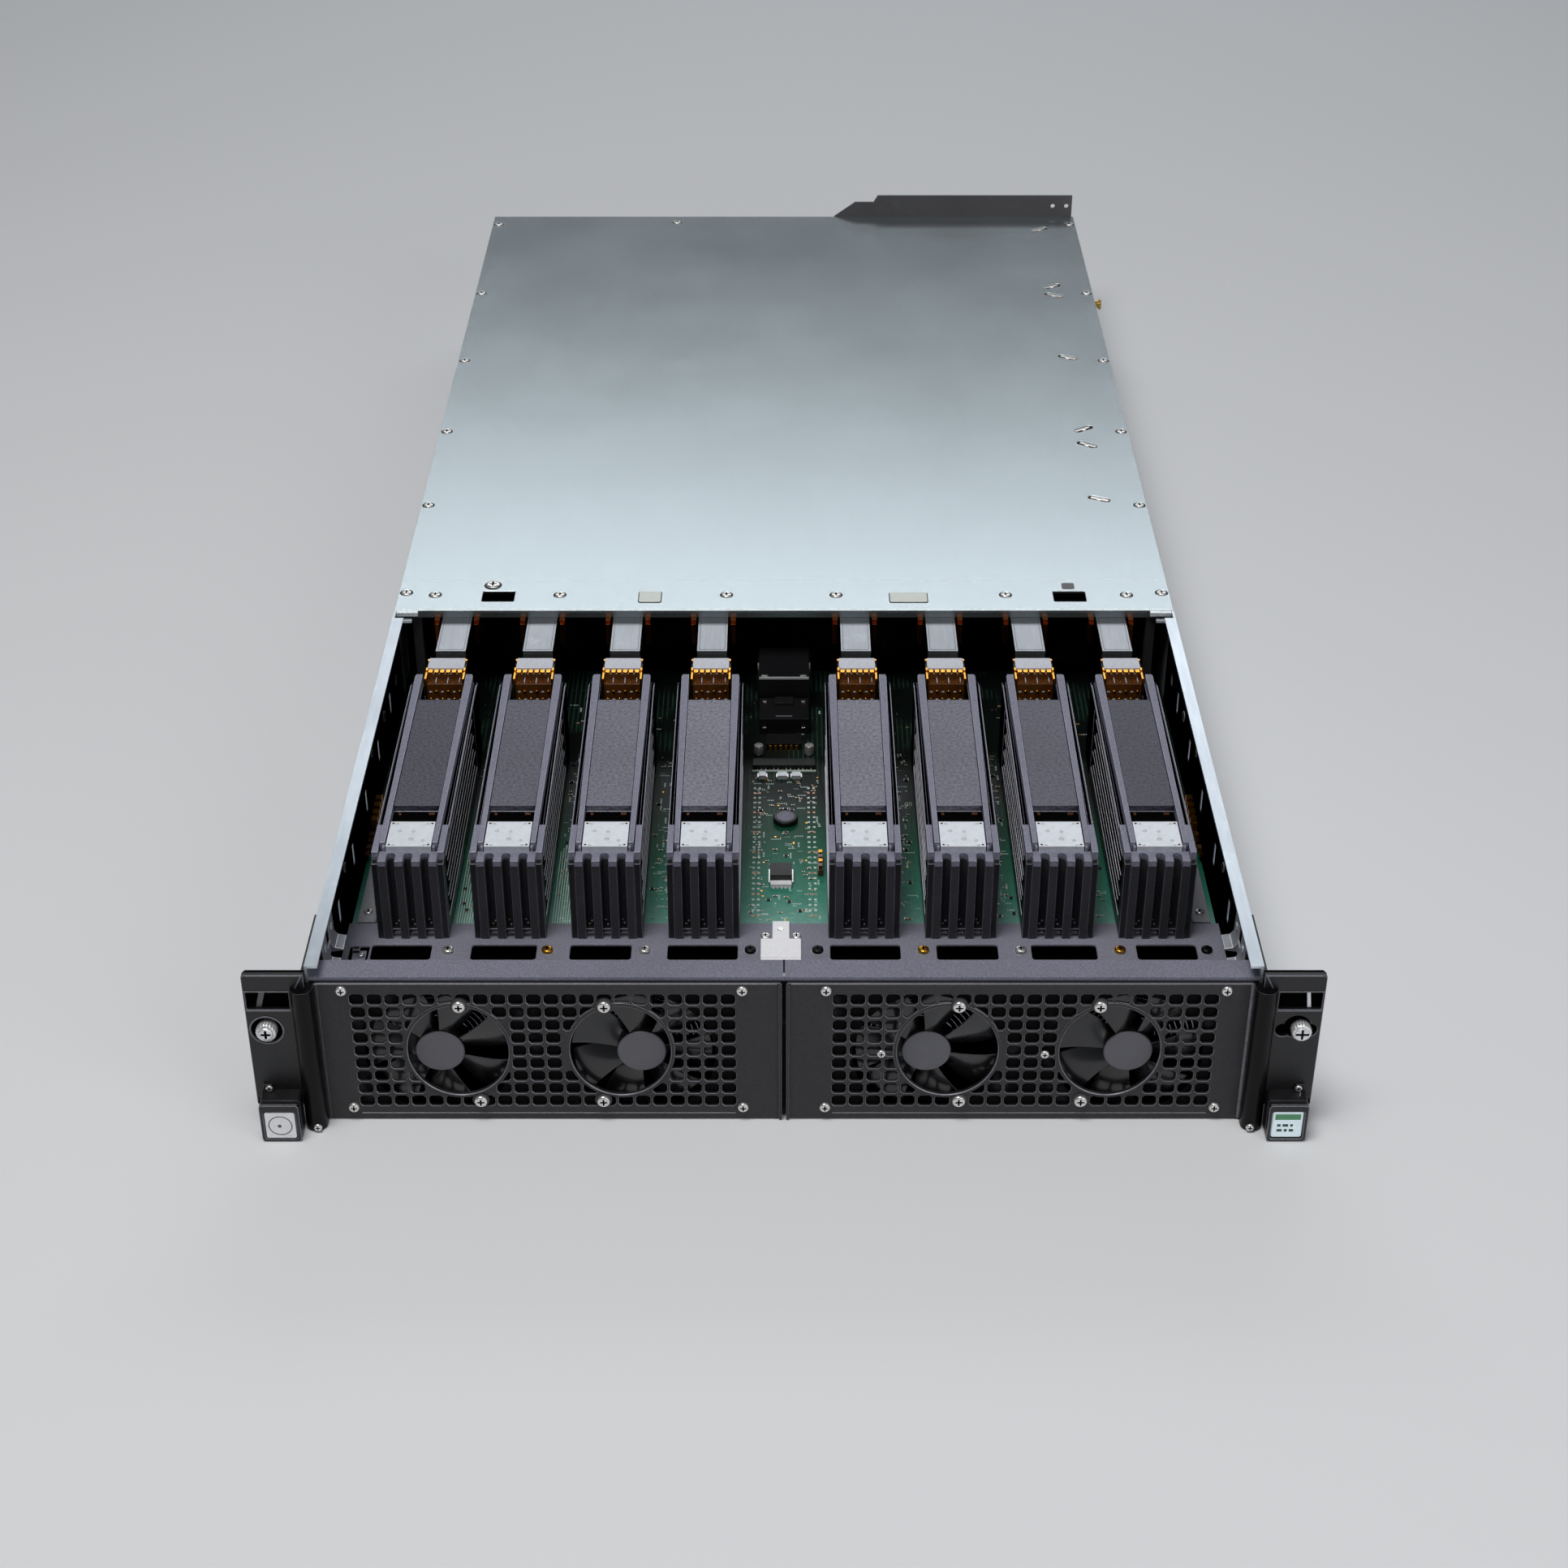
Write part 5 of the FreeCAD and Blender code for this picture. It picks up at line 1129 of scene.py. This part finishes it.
def make_thumbscrew(side):
    name = NAMES[side]
    knob = Shape(KNOB_X, 0, KNOB_Z, side)
    profile, mats = [(ridged(4.4), 0), (ridged(4.5), 4.2), (4.1, 5), (3.4, 5.4), (3.3, 5.4), (3.2, 5.8)], [0]
    if side < 0:
        profile = [(ridged(4.6), 0), (ridged(4.7), 4.2), (4.4, 5), (3.7, 5.4), (3.3, 5), (3.1, 5.6), (2.6, 6),
                   (cross_recess(2.4), 6), (cross_recess(1.9), 4.6)]
        mats = [0] * 7 + [1]
    else:
        knob.boxes((-3, 3, -7.75, -7.3, -0.5, 0.5, 1), (-0.5, 0.5, -7.75, -7.3, -2.6, 2.6, 1))
    knob.rings((0, -1.8, 0), TO_FRONT, profile, 108, mats=mats)
    knob.rings((0, -1.9, 0), TO_REAR, [(2.2, 0), (2.2, 1.9)], 24)
    threads = [(2.5 if i % 2 else 2.28, 1.9 + i * 0.5) for i in range(21)] + [(1.9, 12.05)]
    knob.rings((0, -1.9, 0), TO_REAR, threads, 24)
    piece("rack_screw_head_" + name, knob, "knob recess", 0, "thumbscrew_" + name,
          "rack_screw_" + name)


def make_pod(side):
    name = NAMES[side]
    x = side * POD_X
    pocket = rounded(x - POCKET_X, x + POCKET_X, POD_Z - POCKET_Z, POD_Z + POCKET_Z, 1, 4)
    sheet("pod_shell_" + name, rounded(x - POD_HALF, x + POD_HALF, 0.2, 20.9, 1.6, 4), [pocket], 4, "front",
          -14, "black black_edge", 0.35, "control_pod_" + name)
    rest = Shape(POD_X, side=side)
    rest.prism(rounded(-POD_HALF, POD_HALF, 0.2, 20.9, 1.2, 3), "y", -12, -4)
    # the thin strip along the top front edge takes the lighter edge colour, a painted highlight
    rest.boxes((-POD_HALF + 0.6, POD_HALF - 0.6, -15.2, -14.7, 20.8, 20.97, 1),
               (-POCKET_X, POCKET_X, -12.2, -12, POD_Z - POCKET_Z, POD_Z + POCKET_Z, 2))
    if side > 0:
        rest.tube([(5.5, -9, 20.6), (5.9, -7.6, 20.95), (6.3, -5.6, 20.7), (6.5, -4.4, 19.8)], 0.35, mat=3)
    piece("pod_back_" + name, rest, "black black_edge dark strip", 0.3, edge="black_edge")


def make_button():
    cap, mark = [Shape(-POD_X, z=POD_Z) for _ in range(2)]
    cap.prism(rounded(-6.9, 6.9, -7.4, 7.4, 1, 4), "y", -15.95, -14)
    cap.rings((0, -14, 0), TO_REAR, [(2, 0), (2, 4)], 20)
    piece("button_cap", cap, "button", 0.4, "power_button", "button", segments=3)
    mark.rings((0, -15.9, 0), TO_FRONT, [(5.5, -0.1), (5.5, 0.08), (5, 0.08), (5, -0.05)], 48)
    mark.rings((-0.4, -15.9, -0.3), TO_FRONT, [(1, -0.1), (0.9, 0.08)], 24)
    piece("button_mark", mark, "bracket", body="button")


def make_display():
    glass, marks = [Shape(POD_X, z=POD_Z) for _ in range(2)]
    glass.prism(rounded(-6.9, 6.9, -7.4, 7.4, 0.9, 4), "y", -15.1, -12.1)
    piece("display_glass", glass, "screen", 0.3, "status_display")
    marks.box(-5.8, 5.8, -15.16, -15.05, 2.8, 6)
    for z, widths in ((-1.2, (1.6, 2.6, 1.2)), (-4.1, (2.4, 1.4, 2))):
        left = -4.6
        for width in widths:
            marks.box(left, left + width, -15.16, -15.05, z, z + 1.4, 1)
            left += width + 0.9
    piece("display_marks", marks, "screen_green screen_mark")


for side in SIDES:
    make_ear(side)
    make_thumbscrew(side)
    make_pod(side)
make_button()
make_display()


# Rear and power supplies

SUPPLIES = [corners("psu_%d" % n) for n in (1, 2)]
SUPPLY_X = [corner[0] for corner in SUPPLIES[0]]
PORTS = ((-190, 16, 13.5), (-168, 16, 13.5), (-146, 13.5, 6), (-128, 13.5, 6), (-108, 16, 13.5))
BACK = -185
HANDLE_X, LEVER_X = 44, 9


def make_rear():
    x0, x1 = SUPPLY_X[0] - 0.5, SUPPLY_X[1] + 0.5
    holes = [[(x0, low - 0.5), (x1, low - 0.5), (x1, high + 0.5), (x0, high + 0.5)]
             for (_, _, low), (_, _, high) in SUPPLIES]
    holes += [rounded(x, x + w, 12, 12 + h, 0.3, 2) for x, w, h in PORTS]
    holes += [circle(-193.6 + column * 5.6 + 2.8 * (row % 2), 39.5 + row * 4.9, 2.2, 6, pi / 6)
              for row in range(9) for column in range(54 - row % 2)]
    sheet("rear_sheet", [(-WALL, 0.1), (WALL, 0.1), (WALL, TOP - 1.2), (-WALL, TOP - 1.2)], holes, 1.5,
          "front", REAR - 0.75, "steel steel_edge", 0.1, "rear_panel")
    ports, heads = Shape(y=REAR), Shape(y=REAR)
    for x, w, h in PORTS:
        if h < 10:
            ports.box(x + 1.6, x + w - 1.6, -12, -0.8, 15.2, 17, 3)
            continue
        ports.box(x + 4, x + w - 4, -13.6, -2, 12.8, 14.2)
        ports.row(8, 0.9, x + 4.6, x + 4.95, -12, -3, 14.2, 14.5, 1)
        ports.row(2, w - 4.8, x + 1.6, x + 3.2, -4, 0.2, 9.4 + h, 11 + h, 2)
    piece("port_tongues", ports, "chip gold amber white", 0.08)
    for x in (-205, -90, 25, 115):
        for z in (5.5, 82):
            screw(heads, (x, -0.1, z), TO_REAR, 2.4, 1.2)
    piece("rear_screws", heads, "screw recess")


def make_supply(number, z0, z1):
    """Case, vented face with its inlet, bent handle, and the lever between two lugs."""
    x0, x1 = SUPPLY_X
    face, mid = REAR + 2, (z0 + z1) / 2
    w, half = x1 - x0, (z1 - z0) / 2
    inlet = w - 28
    body = "supply_%d" % number
    case, fittings, lever = [Shape(x0, face, mid) for _ in range(3)]
    inner = (1 - half, half - 1)
    case.boxes((0, w, BACK, -1.2, -half, 1 - half), (0, w, BACK, -1.2, half - 1, half),
               (0, 1, BACK, -1.2, *inner), (w - 1, w, BACK, -1.2, *inner),
               (1, w - 1, BACK, BACK + 1.5, *inner), (1, w - 1, -16.5, -15.5, *inner, 1),
               (inlet - 14, inlet + 14, -15.4, -14.2, -10, 10, 1))
    case.row(9, 8, 6, 8.4, BACK - 0.9, BACK + 0.1, 6 - half, 14 - half, 2)
    piece("supply_case_%d" % number, case, "supply dark gold", 0.15, "psu_%d" % number, body)
    holes = [rounded(x0 + inlet - 12, x0 + inlet + 12, mid - 8, mid + 8, 2.4, 4)]
    for row in range(7):
        for x in [16.5 + column * 2.6 + 1.3 * (row % 2) for column in range(14)]:
            if abs(x - HANDLE_X) >= 3.6:
                holes.append(circle(x0 + x, z0 + 6.6 + row * 4.3, 1.05, 6, pi / 6))
    sheet("supply_face_%d" % number, rounded(x0, x1, z0, z1, 0.8, 3), holes, 1.2, "front", face - 0.6,
          "supply steel_edge", 0.12, body=body)
    for a, b, c, d in ((-12.6, -12, -8.6, 8.6), (12, 12.6, -8.6, 8.6), (-12, 12, 8, 8.6),
                       (-12, 12, -8.6, -8)):
        fittings.box(inlet + a, inlet + b, -14.2, -0.6, c, d, 1)
    for x, z in ((inlet - 6.5, -1.6), (inlet + 6.5, -1.6), (inlet, 3)):
        fittings.box(x - 0.9, x + 0.9, -14.4, -3.4, z - 2.6, z + 2.6, 2)
    reach, bend, foot = 20, 5, 6 - half
    turns = [radians(15 * i) for i in range(7)]
    arm = [(-1, foot)] + [(reach - bend + bend * sin(t), foot + bend * (1 - cos(t))) for t in turns]
    arm += [(y, -z) for y, z in reversed(arm)]
    fittings.tube([(HANDLE_X, y, z) for y, z in arm], 2, 14)
    for z in (-8, 6):
        lug = [(-3.5, -0.4), (3.5, -0.4), (3.5, 6.4), (1.8, 8.4), (-1.8, 8.4), (-3.5, 6.4)]
        fittings.prism([(LEVER_X + x, y) for x, y in lug], "z", z, z + 2)
    fittings.rings((LEVER_X, 5, -6.2), UP, [(1.45, 0), (1.45, 12.4)], 20)
    fittings.rings((30, 0, half - 3.4), TO_REAR, [(1.3, -0.2), (1.3, 0.3), (0.9, 0.5)], 20, mat=3)
    piece("supply_fittings_%d" % number, fittings, "steel chip screw green", 0.2,
          body=body)
    blade = [(-1, 7.4), (1, 7.4), (1, 15.2), (0.6, 17), (-0.6, 17), (-1, 15.2)]
    lever.prism([(LEVER_X + x, y) for x, y in blade], "z", -5.6, 5.6)
    lever.rings((LEVER_X, 5, 0), UP, [(1.6, -5.7), (3, -5.7), (3, 5.7), (1.6, 5.7), (1.6, -5.7)], 28,
                closed=False)
    for z in [-4.2 + i * 2.8 for i in range(4)]:
        lever.box(LEVER_X - 1.25, LEVER_X + 1.25, 11, 15, z - 0.35, z + 0.35)
    piece("supply_lever_%d" % number, lever, "green", 0.15, "psu_latch_%d" % number,
          "latch_%d" % number)


make_rear()
for number, (low, high) in enumerate(SUPPLIES, 1):
    make_supply(number, low[2], high[2])


# Floor, background and light

def make_stage():
    ground = bpy.data.meshes.new("ground")
    ground.from_pydata([(-9, -9, 0), (9, -9, 0), (9, 9, 0), (-9, 9, 0)], [], [(0, 1, 2, 3)])
    floor = mesh_object("ground", ground)
    floor.location.z = -0.0002
    mat = bpy.data.materials.new("pale_floor")
    mat.use_nodes = True
    shader = mat.node_tree.nodes["Principled BSDF"]
    shader.inputs["Base Color"].default_value = (0.72, 0.73, 0.75, 1)
    shader.inputs["Roughness"].default_value = 0.75
    ground.materials.append(mat)


def lamp(name, place, target, width, height, power, colour):
    data = bpy.data.lights.new(name, "AREA")
    data.shape = "RECTANGLE"
    data.size, data.size_y = width, height
    data.energy = power
    data.color = colour
    obj = mesh_object(name, data)
    obj.location = place
    obj.rotation_euler = (Vector(target) - Vector(place)).to_track_quat("-Z", "Y").to_euler()


def make_light():
    world = bpy.data.worlds.new("studio")
    bpy.context.scene.world = world
    world.use_nodes = True
    background = world.node_tree.nodes["Background"]
    background.inputs["Color"].default_value = (0.80, 0.83, 0.88, 1)
    background.inputs["Strength"].default_value = 0.15
    lamp("key", (-0.4, -0.9, 2.3), (0, -0.25, 0), 1.0, 1.0, 36, (1, 0.99, 0.97))
    lamp("back", (0.2, 2.1, 1.52), (0.0, 0.0, 0.08), 2.2, 0.6, 11.5, (0.93, 0.97, 1.0))
    lamp("fill", (1.3, -1.6, 0.9), (0, -0.4, 0.05), 1.2, 1.2, 8, (0.97, 0.98, 1.0))


make_stage()
make_light()
bpy.context.scene.view_settings.view_transform = "Standard"
